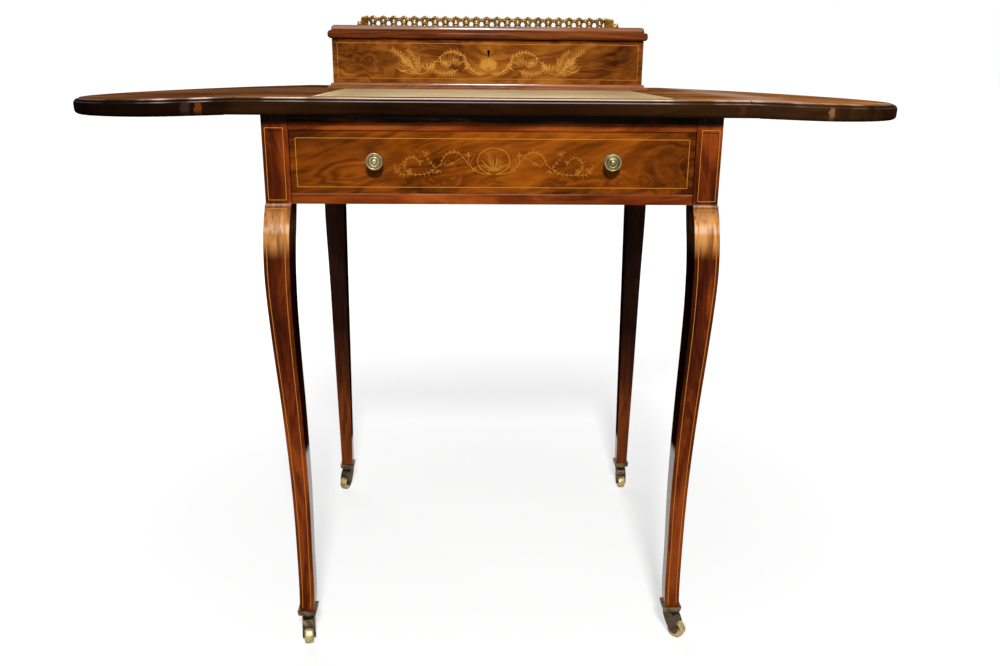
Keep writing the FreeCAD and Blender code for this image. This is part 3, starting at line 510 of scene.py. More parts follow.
def hide_finish():
    """Aged tan hide: pebbled grain from a cell pattern, pale tans that carry a painted sheen, darker
    towards the ends so that the middle holds the painted sheen, two gilt lines near its edges."""
    f = Finish("hide", Specular_IOR_Level=0.0, Coat_Roughness=0.35)
    place = f.add("TexCoord", out="Object")
    low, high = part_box("leather")
    x = f.math("ABSOLUTE", f.part(place, "X"))
    y = f.part(place, "Y")
    inset = f.math("MINIMUM", f.math("SUBTRACT", y, low.y), f.math("SUBTRACT", high.y, y))
    inset = f.math("MINIMUM", f.math("SUBTRACT", high.x - BANDING * MM, x), inset)
    patch = f.noise(f.stretch(place, (9, 9, 9)), 5.0, 0.6, 0.6)
    scuff = f.noise(f.stretch(place, (60, 60, 60)), 4.0, 0.7)
    cell = f.add("TexVoronoi", {"Vector": place, "Scale": 900.0}, feature="DISTANCE_TO_EDGE")
    # Tans made pale by painted sheen
    tans_with_painted_sheen = (0.3, rgb(198, 169, 124)), (0.55, rgb(222, 194, 148)), (0.75, rgb(238, 212, 168))
    colour = f.ramp(patch, *tans_with_painted_sheen)
    colour = f.blend(f.span(scuff, 0.55, 0.75, 0.0, 0.35), colour, rgb(172, 144, 100))
    # Painted sheen: darker towards the ends, so that the middle stands paler
    colour = f.blend(f.span(x, 0.08, 0.2, 0.0, 0.35), colour, rgb(150, 124, 84))
    f.feed("Coat Weight", f.span(x, 0.08, 0.2, 0.22, 0.06))
    gilt = 0.0
    for start, stop in GILT_LINES:
        line = f.math("MULTIPLY", f.math("GREATER_THAN", inset, start), f.math("LESS_THAN", inset, stop))
        gilt = f.math("MAXIMUM", line, gilt)
    gilt = f.math("MULTIPLY", gilt, f.span(scuff, 0.62, 0.5, 0.25, 0.9))
    colour = f.blend(gilt, colour, rgb(222, 186, 104))
    f.feed("Metallic", f.math("MULTIPLY", gilt, 0.6))
    return f.wire_up(colour, f.span(patch, 0.3, 0.7, 0.38, 0.55), cell, depth=0.0002, strength=0.3)


hide = hide_finish()


# Finishes on the solids, with eased arrises on the flat wood

SHARP_ANGLE = math.radians(28)
EASE_ANGLE = math.radians(35)


def arris_group():
    """Joins a solid's loose faces and shades it smooth up to an angle, so that its edges can be eased."""
    g = bpy.data.node_groups.new("arris", "GeometryNodeTree")
    g.interface.new_socket("Geometry", in_out="INPUT", socket_type="NodeSocketGeometry")
    g.interface.new_socket("Geometry", in_out="OUTPUT", socket_type="NodeSocketGeometry")
    clear = g.nodes.new("GeometryNodeRemoveAttribute")
    clear.inputs["Name"].default_value = "custom_normal"
    merge = g.nodes.new("GeometryNodeMergeByDistance")
    merge.inputs["Distance"].default_value = 1e-5
    smooth = g.nodes.new("GeometryNodeSetShadeSmooth")
    angle = g.nodes.new("GeometryNodeInputMeshEdgeAngle")
    over = g.nodes.new("FunctionNodeCompare")
    over.operation = "GREATER_THAN"
    over.inputs[1].default_value = SHARP_ANGLE
    sharp = g.nodes.new("GeometryNodeSetShadeSmooth")
    sharp.domain = "EDGE"
    sharp.inputs["Shade Smooth"].default_value = False
    g.links.new(angle.outputs["Unsigned Angle"], over.inputs[0])
    g.links.new(over.outputs[0], sharp.inputs["Selection"])
    chain = [g.nodes.new("NodeGroupInput"), clear, merge, smooth, sharp, g.nodes.new("NodeGroupOutput")]
    for a, b in zip(chain, chain[1:]):
        g.links.new(a.outputs[0], b.inputs[0])
    return g


ARRIS = arris_group()


def dress(finish, names, ease=0.0):
    """Gives solids a finish and, where asked, edges eased by a small bevel."""
    for name in names:
        solid = nodes[name]
        solid.data.materials.clear()
        solid.data.materials.append(finish)
        if ease:
            solid.modifiers.new("arris", "NODES").node_group = ARRIS
            bevel = solid.modifiers.new("ease", "BEVEL")
            bevel.width = ease * MM
            bevel.segments = 2
            bevel.limit_method = "ANGLE"
            bevel.angle_limit = EASE_ANGLE
            bevel.harden_normals = True


corners = ("front_left", "front_right", "back_left", "back_right")
dress(rosewood_leg, ["leg_front_left", "leg_front_right"], 0.6)
dress(rosewood_back_painted_shade, ["leg_back_left", "leg_back_right"], 0.6)
dress(rosewood_rail, ["rail_top", "rail_bottom", "apron_back"], 0.4)
dress(rosewood_side, ["apron_left", "apron_right", "box_left", "box_right"], 0.4)
dress(rosewood_box, ["box_front", "box_back"], 0.4)
dress(rosewood_drawer, ["drawer_front"], 1.0)
dress(rosewood_lid, ["lid"], 0.4)
dress(rosewood_base_painted_highlight, ["box_base"], 0.4)
dress(rosewood_top, ["top_centre", "leaf_left", "leaf_right"])
dress(lining, ["runner_left", "runner_right", "loper_bed", "loper_left", "loper_right", "drawer_left",
               "drawer_right", "drawer_back", "drawer_bottom"], 0.4)
dress(brass, [n for n in nodes if "hinge" in n or "flap" in n or "butt" in n or "link" in n], 0.15)
dress(iron, ["box_lock"])
dress(bronze, ["castor_tray_" + c for c in corners], 0.25)


# Stringing on the flat faces

def frame_line(x0, x1, z0, z1, face, half=0.34):
    """Four inlaid strips round a rectangle, mitred by running into each other."""
    runs = (((x0, z0), (x1, z0)), ((x0, z1), (x1, z1)), ((x0, z0), (x0, z1)), ((x1, z0), (x1, z1)))
    return [inlaid(np.linspace(a, b, 24), half, face, 0.2) for a, b in runs]


drawer_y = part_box("drawer_front")[0].y * TO_MM
box_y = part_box("box_front")[0].y * TO_MM
block_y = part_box("leg_back_left")[1].y * -TO_MM
strings = frame_line(-232.5, 232.5, 630.3, 687.3, facing_front(drawer_y))
put("drawer_stringing", strings, fine_marquetry, "drawer")
strings = frame_line(-226, 226, 749, 799.5, facing_front(box_y))
for x0, x1 in ((-266, -245), (245, 266)):
    strings += frame_line(x0, x1, 615.5, 699, facing_front(block_y))
put("front_stringing", strings, stringing, "frame")


# Stringing on the legs

SHAFT_LOW, SHAFT_HIGH = 50.4, 609.9
LEG_X, LEG_Y = 253, 232
STRING_LOW, STRING_HIGH = 53.0, 605.0
STRING_INSET = (4.2, 5.2)
STRING_HALF = 0.42


def leg_edges(name):
    """Corner lines of a leg's shaft, read from its solid: (x, y, z) sorted by height, for the outer corner,
    the one inward along x and the one inward along y."""
    mesh = nodes[name].data
    p = np.empty(len(mesh.vertices) * 3, np.float32)
    mesh.vertices.foreach_get("co", p)
    p = np.round(p.reshape(-1, 3).astype(float) * TO_MM, 3)
    p, shared = np.unique(p, axis=0, return_counts=True)
    p = p[(shared > 1) & (p[:, 2] > SHAFT_LOW) & (p[:, 2] < SHAFT_HIGH)]
    far_x = np.abs(p[:, 0]) > LEG_X
    far_y = np.abs(p[:, 1]) > LEG_Y
    kinds = far_x & far_y, ~far_x & far_y, far_x & ~far_y
    return [p[k][np.argsort(p[k][:, 2])] for k in kinds]


def leg_strings(name):
    """Two inlaid strips on the front and the outer face of a leg, a set distance in from each edge, joined
    by a cross strip at the top. Their sections stand closer together near the knee."""
    outer, inward_x, inward_y = leg_edges(name)
    z = STRING_HIGH - (STRING_HIGH - STRING_LOW) * np.linspace(0, 1, 160) ** 1.6
    place = np.array([-1, -1, 0, 1, 1])[:, None] * STRING_HALF
    lift = np.array([-0.5, 0.05, 0.1, 0.05, -0.5])[:, None]
    skins = []
    for other in (inward_x, inward_y):
        a = np.stack([np.interp(z, outer[:, 2], outer[:, i]) for i in (0, 1)] + [z], 1)
        b = np.stack([np.interp(z, other[:, 2], other[:, i]) for i in (0, 1)] + [z], 1)
        width = np.linalg.norm(b - a, axis=1, keepdims=True)
        across = (b - a) / width
        out = np.cross(np.gradient(a, axis=0), across)
        out /= np.linalg.norm(out, axis=1, keepdims=True)
        out *= np.sign((out * (a + b)).sum(1, keepdims=True))
        for middle in (STRING_INSET[0], width - STRING_INSET[1]):
            line = a + across * middle
            strip = line[:, None] + across[:, None] * place + out[:, None] * lift
            skins.append(capped(strip, 0.3))
        down = np.cross(across[0], out[0])
        line = a[0] + across[0] * np.linspace(STRING_INSET[0], width[0] - STRING_INSET[1], 8)[:, :1]
        skins.append(capped(line[:, None] + down * place + out[0] * lift, 0.3))
    return skins


for side in ("left", "right"):
    put("leg_stringing_" + side, leg_strings("leg_front_" + side), stringing, "frame")


# Marquetry: scrolls, leaves and shells

chance = np.random.default_rng(7)


def leaf(base, tip, bow, width, steps=9):
    """Leaf: midrib bowed by 4 t (1 - t), half width as sin(pi t^0.75), burnt at its base."""
    base, tip = np.asarray(base, float), np.asarray(tip, float)
    t = np.linspace(0, 1, steps)[:, None]
    run = tip - base
    side = np.array([-run[1], run[0]])
    line = base + run * t + side * (bow * 4 * t * (1 - t))
    return line, (width * np.sin(np.pi * t**0.75) + 0.07)[:, 0], 0.75 - 0.7 * t[:, 0]


def scroll(points, start, end, tone):
    """Stem through points that thins from one half width to another."""
    line = through(points)
    return line, np.linspace(start, end, len(line)), np.full(len(line), tone)


def sprig(points, count, length, width, spread=0.75, first=0.04, bow=0.16):
    """Leaves in pairs along a stem, each leaning forward by the spread angle, smaller to the tip."""
    line = through(points)
    far = np.concatenate([[0], np.cumsum(np.linalg.norm(np.diff(line, axis=0), axis=1))])
    share = np.linspace(first, 0.97, count)
    base = np.stack([np.interp(share * far[-1], far, line[:, i]) for i in (0, 1)], 1)
    slope = np.gradient(line, axis=0)
    way = np.stack([np.interp(share * far[-1], far, slope[:, i]) for i in (0, 1)], 1)
    way /= np.linalg.norm(way, axis=1, keepdims=True)
    size = length * (1 - 0.45 * share) * chance.uniform(0.85, 1.15, count)
    made = []
    for turn in (-1, 1):
        c, s = math.cos(spread), turn * math.sin(spread)
        lean = np.stack([way[:, 0] * c - way[:, 1] * s, way[:, 0] * s + way[:, 1] * c], 1)
        made += [leaf(b, b + d * g, -turn * bow, width * g / length) for b, d, g in zip(base, lean, size)]
    return made


def fan(centre, radius, count, sweep, width, foot):
    """Shell: leaves that spread from a foot over a sweep of angles, longest in the middle."""
    angle = np.linspace(-sweep, sweep, count)
    way = np.stack([np.sin(angle), np.cos(angle)], 1)
    long = radius * (0.72 + 0.28 * np.cos(angle))
    return [leaf(centre + w * foot, centre + w * g, 0.0, width) for w, g in zip(way, long)]


def tuft(root, heading, sweep, count, length, width, curl=0.2):
    """Brush of fine leaves from one root: they spread over a sweep of angles about a heading, with lengths,
    bows and tones a little uneven."""
    angle = heading + np.linspace(-sweep, sweep, count) + chance.uniform(-0.08, 0.08, count)
    size = length * chance.uniform(0.6, 1.1, count)
    way = np.stack([np.cos(angle), np.sin(angle)], 1)
    bows = curl * chance.uniform(-1, 1, count)
    tones = chance.uniform(-0.1, 0.3, count)
    made = [leaf(root, root + w * g, b, width) for w, g, b in zip(way, size, bows)]
    return [(line, half, shade + tone) for (line, half, shade), tone in zip(made, tones)]


def tufts(roots, sweep, count, width):
    """Brushes of leaves at several roots, each given as x, z, heading and length."""
    made = []
    for x, z, heading, length in roots:
        made += tuft(np.array([x, z], float), heading, sweep, count, length, width)
    return made


def both_ways(strips):
    """The strips and their mirror images."""
    return strips + [(line * (-1, 1), half, shade) for line, half, shade in strips]


def inlay_all(strips, face, lift=0.09):
    """Skins of many strips on one face."""
    return [inlaid(line, half, face, shade, lift) for line, half, shade in strips]


def golden(strips, tone):
    """The strips in one even tone."""
    return [(line, half, np.full(len(line), tone)) for line, half, _ in strips]


UPWARD = math.pi / 2
stem = [(3, 646), (11, 646.6), (21, 649.6), (27.4, 655.3), (33.8, 662.6), (38.7, 669.1), (46.7, 672),
        (54.8, 669.9), (60.4, 663.4), (62.8, 657.7), (69.3, 652.8), (77.4, 647.1), (87, 645.5), (98.3, 646),
        (105.6, 652.8), (104.8, 661), (98.3, 665.9), (91.9, 664.2), (89, 659)]
tendril = [(36, 666), (43, 662.5), (50, 657.5), (56, 655.5), (58.5, 659.5), (55, 662.5), (51.5, 660.5)]
upper = [(69.3, 652.8), (75, 660), (80, 666), (84, 672), (81, 675)]
lower = [(98.3, 646), (108, 645), (115, 649), (118, 656), (114, 659)]
half_drawer = [
    scroll(stem, 0.42, 0.2, 0.3),
    scroll(tendril, 0.3, 0.15, 0.4),
    scroll([(31, 659), (29.5, 666), (30.5, 672)], 0.32, 0.2, 0.1),
    scroll([(28, 657), (25.5, 664), (22.5, 668.5), (24.5, 670.5)], 0.25, 0.15, 0.3),
    scroll(upper, 0.25, 0.12, 0.45),
    scroll(lower, 0.28, 0.12, 0.4),
    scroll([(7, 646.5), (6, 650.5), (9, 652), (9.5, 649.5)], 0.35, 0.2, 0.2),
]
half_drawer += sprig(stem[5:10], 7, 5.0, 0.34, 0.7)
half_drawer += sprig(stem[10:15], 8, 5.5, 0.34, 0.7)
half_drawer += sprig(stem[14:18], 6, 4.5, 0.3, 0.8)
half_drawer += sprig(upper[:4], 5, 4.5, 0.3)
half_drawer += sprig(lower[:4], 6, 5.0, 0.3)
roots = ((30.5, 666, 1.6, 6.5), (21.5, 650, 0.6, 5.5), (50, 660.5, 4.6, 6.0), (67, 651, 4.4, 6.0),
         (79, 668, 1.7, 5.5), (88, 662, 4.2, 6.0), (100, 647, 2.2, 6.5), (112, 649, 0.9, 7.0))
half_drawer += tufts(roots, sweep=0.9, count=6, width=0.3)
middle = np.array([0.0, 661.6])
t = np.linspace(0.2, TAU - 0.2, 73)
shell_ring = middle - np.stack([19.0 * np.sin(t), 15.2 * np.cos(t)], 1)
strips = both_ways(half_drawer) + [(shell_ring, np.full(len(t), 0.4), np.full(len(t), 0.25))]
strips += tuft(middle - (0, 11.5), UPWARD, sweep=1.15, count=15, length=23.0, width=0.5, curl=0.05)
strips += golden(fan(middle - (0, 12.0), radius=9.0, count=7, sweep=1.3, width=1.0, foot=0.5), 0.5)
strips = [(line, half * 0.8, shade) for line, half, shade in strips]
put("drawer_marquetry", inlay_all(strips, facing_front(drawer_y)), fine_marquetry, "drawer")

ground = [leaf((103, 755), (141, 788), 0.12, 6.5), leaf((103, 755), (117, 789), 0.1, 4.5),
          leaf((104, 756), (141, 769), -0.1, 4.0), leaf((46, 759), (84, 778), -0.22, 6.0),
          leaf((86, 757), (58, 784), 0.2, 5.0), leaf((5, 756.5), (38, 783), -0.25, 3.6),
          leaf((38, 783), (66, 787), 0.1, 2.6), leaf((84, 764), (104, 757), -0.2, 3.4)]
plume = [(103, 755), (114, 762), (124, 773), (133, 783), (142, 789)]
crest = [(38, 782), (52, 788), (66, 785), (76, 777)]
rise = [(4, 756.5), (17, 757.5), (27, 764), (33, 772), (37, 783)]
curl = [(46, 762), (58, 757), (72, 757), (84, 763), (82, 772), (74, 774), (70, 768)]
trail = [(84, 764), (94, 758), (104, 755.5), (118, 756), (132, 761)]
half_box = [
    scroll(plume, 0.4, 0.2, 0.2),
    scroll(crest, 0.4, 0.25, 0.3),
    scroll(rise, 0.5, 0.25, 0.1),
    scroll(curl, 0.4, 0.2, 0.3),
    scroll(trail, 0.4, 0.2, 0.4),
]
half_box += sprig(plume, 12, 12.0, 0.55, 0.6)
half_box += sprig([(103, 755), (106, 768), (112, 780), (120, 789)], 10, 10.0, 0.5, 0.6)
half_box += sprig(rise, 13, 8.0, 0.5, 0.6)
half_box += sprig(curl[:5], 12, 8.5, 0.5, 0.7)
half_box += sprig(crest, 9, 6.5, 0.45, 0.7)
roots = ((110, 760, 1.2, 24), (118, 762, 0.7, 20), (126, 766, 1.9, 18), (60, 764, 1.3, 15),
         (72, 768, 2.2, 15), (80, 764, 0.6, 12), (50, 768, 2.0, 14), (28, 765, 0.3, 12), (92, 760, 1.5, 13))
half_box += tufts(roots, sweep=0.8, count=9, width=0.42)
strips = both_ways(half_box)
strips += tuft(np.array([0.0, 762.0]), UPWARD, sweep=1.3, count=17, length=14.0, width=0.3, curl=0.05)
t = np.linspace(0, TAU, 20, endpoint=False)
scallops = np.stack([14.5 * np.sin(t), 770 + 10.3 * np.cos(t)], 1)
shell = [leaf((0, 770), tip, 0.0, 2.1) for tip in scallops]
ground = golden(both_ways(ground), 0.86) + golden(shell, 0.5)
skins = inlay_all(ground, facing_front(box_y), 0.05) + inlay_all(strips, facing_front(box_y), 0.12)
put("box_marquetry", skins, marquetry, "frame")


# Knobs

KNOB = [(2.5, -14), (2.5, -0.2), (8.4, -0.2), (9.0, 0.3), (9.0, 1.2), (8.2, 1.8), (6.4, 2.4), (4.6, 3.4),
        (3.8, 5.0), (3.6, 7.0), (4.0, 9.0), (5.4, 11.0), (7.6, 12.6), (9.4, 13.6), (10.0, 14.4),
        (10.1, 15.0), (10.35, 15.6), (10.4, 16.4), (10.1, 17.4), (9.5, 18.1), (8.8, 18.2), (8.3, 17.7),
        (8.05, 16.9), (7.8, 16.9), (7.5, 17.5), (7.1, 17.7), (6.7, 17.4), (6.4, 16.6), (5.4, 16.1),
        (4.3, 16.2), (3.9, 16.6), (3.7, 17.6), (3.3, 18.5), (2.5, 19.2), (1.4, 19.6), (0.4, 19.75)]
for side in ("left", "right"):
    low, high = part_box("knob_" + side)
    x, z = (low.x + high.x) * TO_MM / 2, (low.z + high.z) * TO_MM / 2
    skin = turned(KNOB, 56, lambda a, b, h: np.stack([x + a, drawer_y - h, z + b], -1))
    put("brass_knob_" + side, [skin], brass, "drawer", ["knob_" + side], crease=60)


# Pierced gallery

BAND = 3.0
LOOP_WIDE, LOOP_TALL, LOOP_UP = 3.9, 4.5, 13.4
DOME = np.array([(0.3, -1.0), (0.75, -0.8), (1.0, 0.0), (0.75, 0.8), (0.3, 1.0)])


def gallery_skins(length, repeats, face, slope=0.0, fall=0.0):
    """Pierced run. Each repeat has a looped crest with beads, two legs down to the foot band, a beaded link
    to the next crest and a half-round at the foot. Heights over the band shrink along a ramped run as
    1 - fall x / run, and its end comes down in a scrolled slope."""
    run = length - slope
    pitch = run / repeats

    def lowered(x, z, out):
        """The face, brought down along the run."""
        shrink = 1 - fall * np.clip(x / run, 0, 1)
        return face(x, np.where(z > BAND, BAND + (z - BAND) * shrink, z), out)

    def bar(points, half):
        """Bar through points."""
        return wire(through(points, 7), half, 0.75, lowered)

    def down(share):
        """Place along the sloped end."""
        return run + share * slope

    t = np.linspace(0, TAU, 25)
    loop = np.stack([LOOP_WIDE * np.sin(t), LOOP_TALL * np.cos(t)], 1)
    foot_line = np.stack([np.linspace(0, length, 40), np.full(40, BAND / 2)], 1)
    skins = [wire(foot_line, BAND / 2, 0.8, face)]
    beads = []
    for x in (np.arange(repeats) + 0.5) * pitch:
        skins.append(wire(loop + (x, LOOP_UP), 2.65, 0.78, lowered))
        beads += [(x, 19.2, 1.8), (x - 4.6, 17.0, 1.7), (x + 4.6, 17.0, 1.7), (x, 8.2, 2.0)]
        for s in (-1, 1):
            skins.append(bar([(x + s * 2.2, 9.4), (x + s * 3.6, 6.4), (x + s * 4.8, BAND - 0.5)], 2.0))
    for x in np.arange(repeats + 1) * pitch:
        ends = np.clip([x - pitch / 2 + 4.6, x, x + pitch / 2 - 4.6], 0.6, run)
        skins.append(bar([(ends[0], 15.2), (ends[1], 14.2), (ends[2], 15.2)], 2.1))
        beads += [(min(max(x, 2.0), run), 16.2, 1.9), (min(max(x, 2.4), run), 3.2, 2.4)]
    for x, z, r in beads:
        skins.append(turned(DOME * (r, 0.85), 10, lambda a, b, h: lowered(x + a, z + b, h)))
    if slope:
        top = BAND + (14.5 - BAND) * (1 - fall)
        skins.append(bar([(run - 2, top), (down(0.2), top - 1.2), (down(0.55), 0.55 * top),
                          (down(0.85), BAND), (length - 1, BAND - 1)], 1.5))
        skins.append(bar([(down(0.78), BAND), (down(0.8), 5.5), (down(0.77), 8.5)], 0.7))
        skins.append(bar([(down(0.04), BAND - 0.5), (down(0.2), 5.5), (down(0.28), top - 1.5)], 0.9))
    return skins


low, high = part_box("gallery_back")
foot = low.z * TO_MM
back_y = (low.y + high.y) * TO_MM / 2
x0, x1 = low.x * TO_MM, high.x * TO_MM
runs = {"back": gallery_skins(x1 - x0, 23, lambda s, z, t: np.stack([x0 + s, back_y - t, foot + z], -1))}
low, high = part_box("gallery_right")
side_x = (low.x + high.x) * TO_MM / 2
reach = (high.y - low.y) * TO_MM
for side, x in (("left", -side_x), ("right", side_x)):
    runs[side] = gallery_skins(reach, 6, lambda s, z, t: np.stack([x + t, back_y - s, foot + z], -1),
                               slope=54.0, fall=0.38)
for side, skins in runs.items():
    # The side runs take the brighter copy, painted light
    gilding = brass_gilt if side == "back" else brass_side_painted_light
    put("brass_gallery_" + side, skins, gilding, "lid", ["gallery_" + side], crease=60)


# Castors

CHEEK = 6.5
CHEEK_THICK = 2.2
HOLLOW = 12.8
HOLLOW_START, HOLLOW_STOP = 80, 152
ROLLER = [(2.2, -5.4), (3.0, -5.4), (3.6, -5.9), (4.6, -5.5), (8.8, -5.5), (9.6, -6.0), (10.8, -5.9),
          (11.5, -5.0), (11.9, -3.0), (12.0, 0.0)]
ROLLER += [(r, -h) for r, h in ROLLER[-2::-1]]
RIVET = [(1.0, -9.3), (2.0, -8.9), (2.0, 8.9), (1.0, 9.3)]
PLATE = [(3.2, 35.9), (8.0, 35.9), (8.5, 36.4), (8.5, 40.2), (8.1, 40.75), (3.2, 40.75)]
ARM = [(6.8, 36.6), (11.5, 31.5), (14.8, 24.6), (16.4, 18.0), (17.0, 12.0), (15.5, 8.5), (12.0, 7.0),
       (8.0, 8.6), (3.8, 13.0), (0.2, 18.6), (-3.0, 25.0), (-5.4, 31.0), (-6.8, 36.6)]
WEB = [(5.4, 33.6), (9.4, 33.2), (12.2, 29.6), (14.2, 25.4)]
WEB_BACK = [(-2.2, 23.6), (-4.2, 28.4), (-5.4, 33.6)]


def slab(outline, start, stop, place, ease=0.3):
    """Flat plate with an outline of (forward, up) between two places on the axle, its arrises eased."""
    outline = np.asarray(outline, float)
    middle = outline.mean(0)
    across = np.array([start, start + ease, stop - ease, stop])
    shrink = np.array([0.95, 1.0, 1.0, 0.95])[:, None, None]
    flat = middle + (outline - middle) * shrink
    return capped(place(np.broadcast_to(across[:, None], flat.shape[:2]), flat[..., 0], flat[..., 1]))


for corner in corners:
    swivel = np.array(joints["swivel_" + corner]["pos_m"]) * TO_MM
    hub = np.array(joints["roll_" + corner]["pos_m"]) * TO_MM
    axle = np.array(joints["roll_" + corner]["axis"])
    ahead = (hub - swivel) * (1, 1, 0)
    offset = np.linalg.norm(ahead)
    ahead /= offset

    def stand(a, f, z):
        """Place of a point given along the axle, forward of the swivel and up."""
        flat = swivel * (1, 1, 0) + axle * a[..., None] + ahead * f[..., None]
        return flat + np.array([0, 0, 1]) * z[..., None]

    def round_axle(a, b, h):
        """Place of a point given forward and up from the axle and along it."""
        return stand(h, offset + a, hub[2] + b)

    t = np.radians(np.linspace(HOLLOW_START, HOLLOW_STOP, 8))
    hollow = np.stack([offset + HOLLOW * np.cos(t), hub[2] + HOLLOW * np.sin(t)], 1)
    web = np.concatenate([WEB, hollow, WEB_BACK])
    skins = [hooped(PLATE, 40, stand), slab(web, -CHEEK - 0.2, CHEEK + 0.2, stand)]
    for cheek in (CHEEK, -CHEEK - CHEEK_THICK):
        skins.append(slab(through(ARM, 4), cheek, cheek + CHEEK_THICK, stand))
    skins.append(turned(RIVET, 20, round_axle))
    put("castor_fork_" + corner, skins, dark_bronze, "horn_" + corner, ["castor_horn_" + corner],
        crease=35)
    put("castor_roller_" + corner, [hooped(ROLLER, 48, round_axle)], brass_wheel, "wheel_" + corner,
        ["castor_wheel_" + corner], crease=50)


# Leather

HIDE_STEPS = [(0.15, -1.15), (0.15, -0.2), (0.6, 0.02), (1.1, 0.04), (1.4, 0.02), (1.6, -0.1), (4.2, -0.1),
              (4.4, 0.02), (4.8, 0.04), (14.6, 0.04), (15.0, 0.02), (15.2, -0.1), (17.6, -0.1),
              (17.8, 0.02), (18.2, 0.04), (60.0, 0.04), (140.0, 0.04)]
SIDE_POINTS = 12


def hide_skin():
    """Skiver as nested rectangles from its edge to its middle, each with an inset and a height: a softened
    rim and two shallow tooled grooves."""
    low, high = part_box("leather")
    x = high.x * TO_MM - BANDING
    y0, y1 = low.y * TO_MM, high.y * TO_MM
    level = high.z * TO_MM
    inset, height = np.transpose(HIDE_STEPS)[:, :, None]
    rising = np.linspace(-1, 1, SIDE_POINTS, endpoint=False)
    u = np.concatenate([rising, np.ones(SIDE_POINTS), -rising, -np.ones(SIDE_POINTS)])
    v = np.roll(u, SIDE_POINTS)
    sx = u * (x - inset)
    sy = (y0 + y1) / 2 + v * ((y1 - y0) / 2 - inset)
    return capped(np.stack([sx, sy, np.broadcast_to(level + height, sx.shape)], -1))


def banding_skins():
    """Two bands of veneer beside the hide, each a slab from its bed up to the writing surface."""
    low, high = (np.array(corner) * TO_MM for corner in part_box("leather"))
    section = np.array([(low[1], low[2]), (high[1], low[2]), (high[1], high[2]), (low[1], high[2])])
    inner, outer = high[0] - BANDING + 0.1, high[0] - 0.02
    block = np.stack([np.column_stack([np.full(4, x), section]) for x in (inner, outer)])
    return [capped(block), capped(block * (-1, 1, 1))]


put("hide_writing_panel", [hide_skin()], hide, "frame", ["leather"], crease=30)
put("hide_banding", banding_skins(), rosewood_top, "frame")


# Floor, light and camera

WHITE = (1, 1, 1, 1)
SEEN_RAYS = ("Is Camera Ray", "Is Glossy Ray", "Is Transmission Ray")


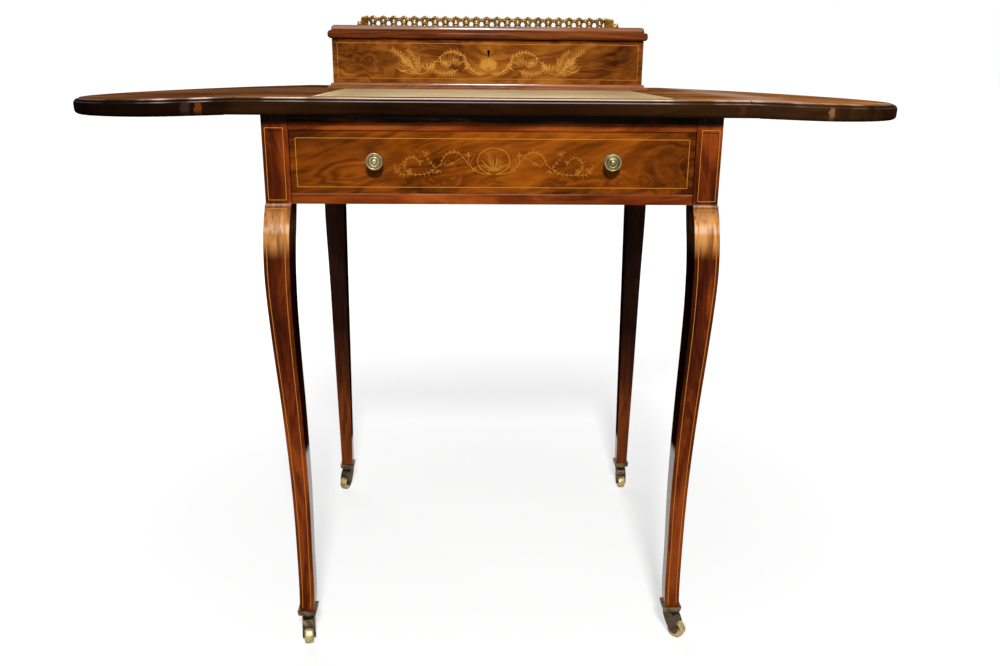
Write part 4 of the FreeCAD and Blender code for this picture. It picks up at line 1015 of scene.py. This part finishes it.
def stage_floor(reach=30):
    """Pale floor, flat and wide; seen straight or mirrored it glows up to white away from the table."""
    mesh = bpy.data.meshes.new("floor")
    rim = [(-reach, -reach, 0), (reach, -reach, 0), (reach, reach, 0), (-reach, reach, 0)]
    mesh.from_pydata(rim, [], [(0, 1, 2, 3)])
    f = Finish("floor_paint", Base_Color=(0.45, 0.45, 0.45, 1), Roughness=0.8, Specular_IOR_Level=0.1,
               Emission_Color=WHITE)
    far = f.add("VectorMath", {0: f.add("TexCoord", out="Object")}, out="Value", operation="LENGTH")
    seen = 0.0
    for ray in SEEN_RAYS:
        seen = f.math("MAXIMUM", seen, f.add("LightPath", out=ray))
    f.feed("Emission Strength", f.math("MULTIPLY", seen, f.span(far, 0.2, 1.8, 0.6, 1.0)))
    mesh.materials.append(f.material)
    floor = bpy.data.objects.new("floor", mesh)
    bpy.context.scene.collection.objects.link(floor)
    floor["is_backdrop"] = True


def room(dim):
    """World: white where it is seen straight, mirrored or through glass, a dim light elsewhere."""
    world = bpy.data.worlds.new("room")
    bpy.context.scene.world = world
    world.use_nodes = True
    tree = world.node_tree
    path = tree.nodes.new("ShaderNodeLightPath")
    seen = path.outputs[SEEN_RAYS[0]]
    for ray in SEEN_RAYS[1:]:
        either = tree.nodes.new("ShaderNodeMath")
        either.operation = "MAXIMUM"
        tree.links.new(seen, either.inputs[0])
        tree.links.new(path.outputs[ray], either.inputs[1])
        seen = either.outputs[0]
    level = tree.nodes.new("ShaderNodeMapRange")
    level.inputs["To Min"].default_value = dim
    tree.links.new(seen, level.inputs["Value"])
    background = tree.nodes["Background"]
    background.inputs["Color"].default_value = WHITE
    tree.links.new(level.outputs[0], background.inputs["Strength"])


def softbox(name, place, aim, size, power):
    """Rectangular area lamp at a place, turned to an aim."""
    lamp = bpy.data.lights.new(name, "AREA")
    lamp.shape = "RECTANGLE"
    lamp.size, lamp.size_y = size
    lamp.energy = power
    holder = bpy.data.objects.new(name, lamp)
    holder.location = place
    toward = Vector(np.array(aim) - np.array(place))
    holder.rotation_euler = toward.to_track_quat("-Z", "Y").to_euler()
    bpy.context.scene.collection.objects.link(holder)


def aim_camera(place, yaw, pitch, roll, lens):
    """Pinhole camera: turned right by yaw, down by pitch and rolled, in radians; lens in millimetres."""
    ahead = np.array([math.sin(yaw) * math.cos(pitch), math.cos(yaw) * math.cos(pitch), -math.sin(pitch)])
    right = np.array([math.cos(yaw), -math.sin(yaw), 0.0])
    down = np.cross(ahead, right)
    image_right = math.cos(roll) * right + math.sin(roll) * down
    image_down = -math.sin(roll) * right + math.cos(roll) * down
    camera = bpy.data.objects.new("camera", bpy.data.cameras.new("camera"))
    camera.data.lens = lens
    camera.data.sensor_width = 36
    camera.data.sensor_fit = "HORIZONTAL"
    turn = np.eye(4)
    turn[:3, :3] = np.stack([image_right, -image_down, -ahead], 1)
    turn[:3, 3] = place
    camera.matrix_world = Matrix(turn.tolist())
    bpy.context.scene.collection.objects.link(camera)
    bpy.context.scene.camera = camera


stage_floor()
softbox("key", place=(0.05, -2.42, 2.08), aim=(0, 0, 0.55), size=(0.34, 0.24), power=92)
softbox("low_strip", place=(0.05, -2.5, 1.45), aim=(0, 0, 0.55), size=(2.0, 0.12), power=2.5)
softbox("window_right", place=(2.6, -1.2, 1.9), aim=(0, 0, 0.6), size=(0.9, 1.4), power=4)
softbox("back_fill", place=(-0.7, 2.6, 1.5), aim=(0, 0, 0.55), size=(2.4, 1.2), power=26)
room(dim=0.05)
aim_camera(place=(-0.0287, -1.3352, 0.7748), yaw=0.03489, pitch=0.29117, roll=-0.00908, lens=32.629)
bpy.context.scene.view_settings.view_transform = "Standard"
low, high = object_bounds()
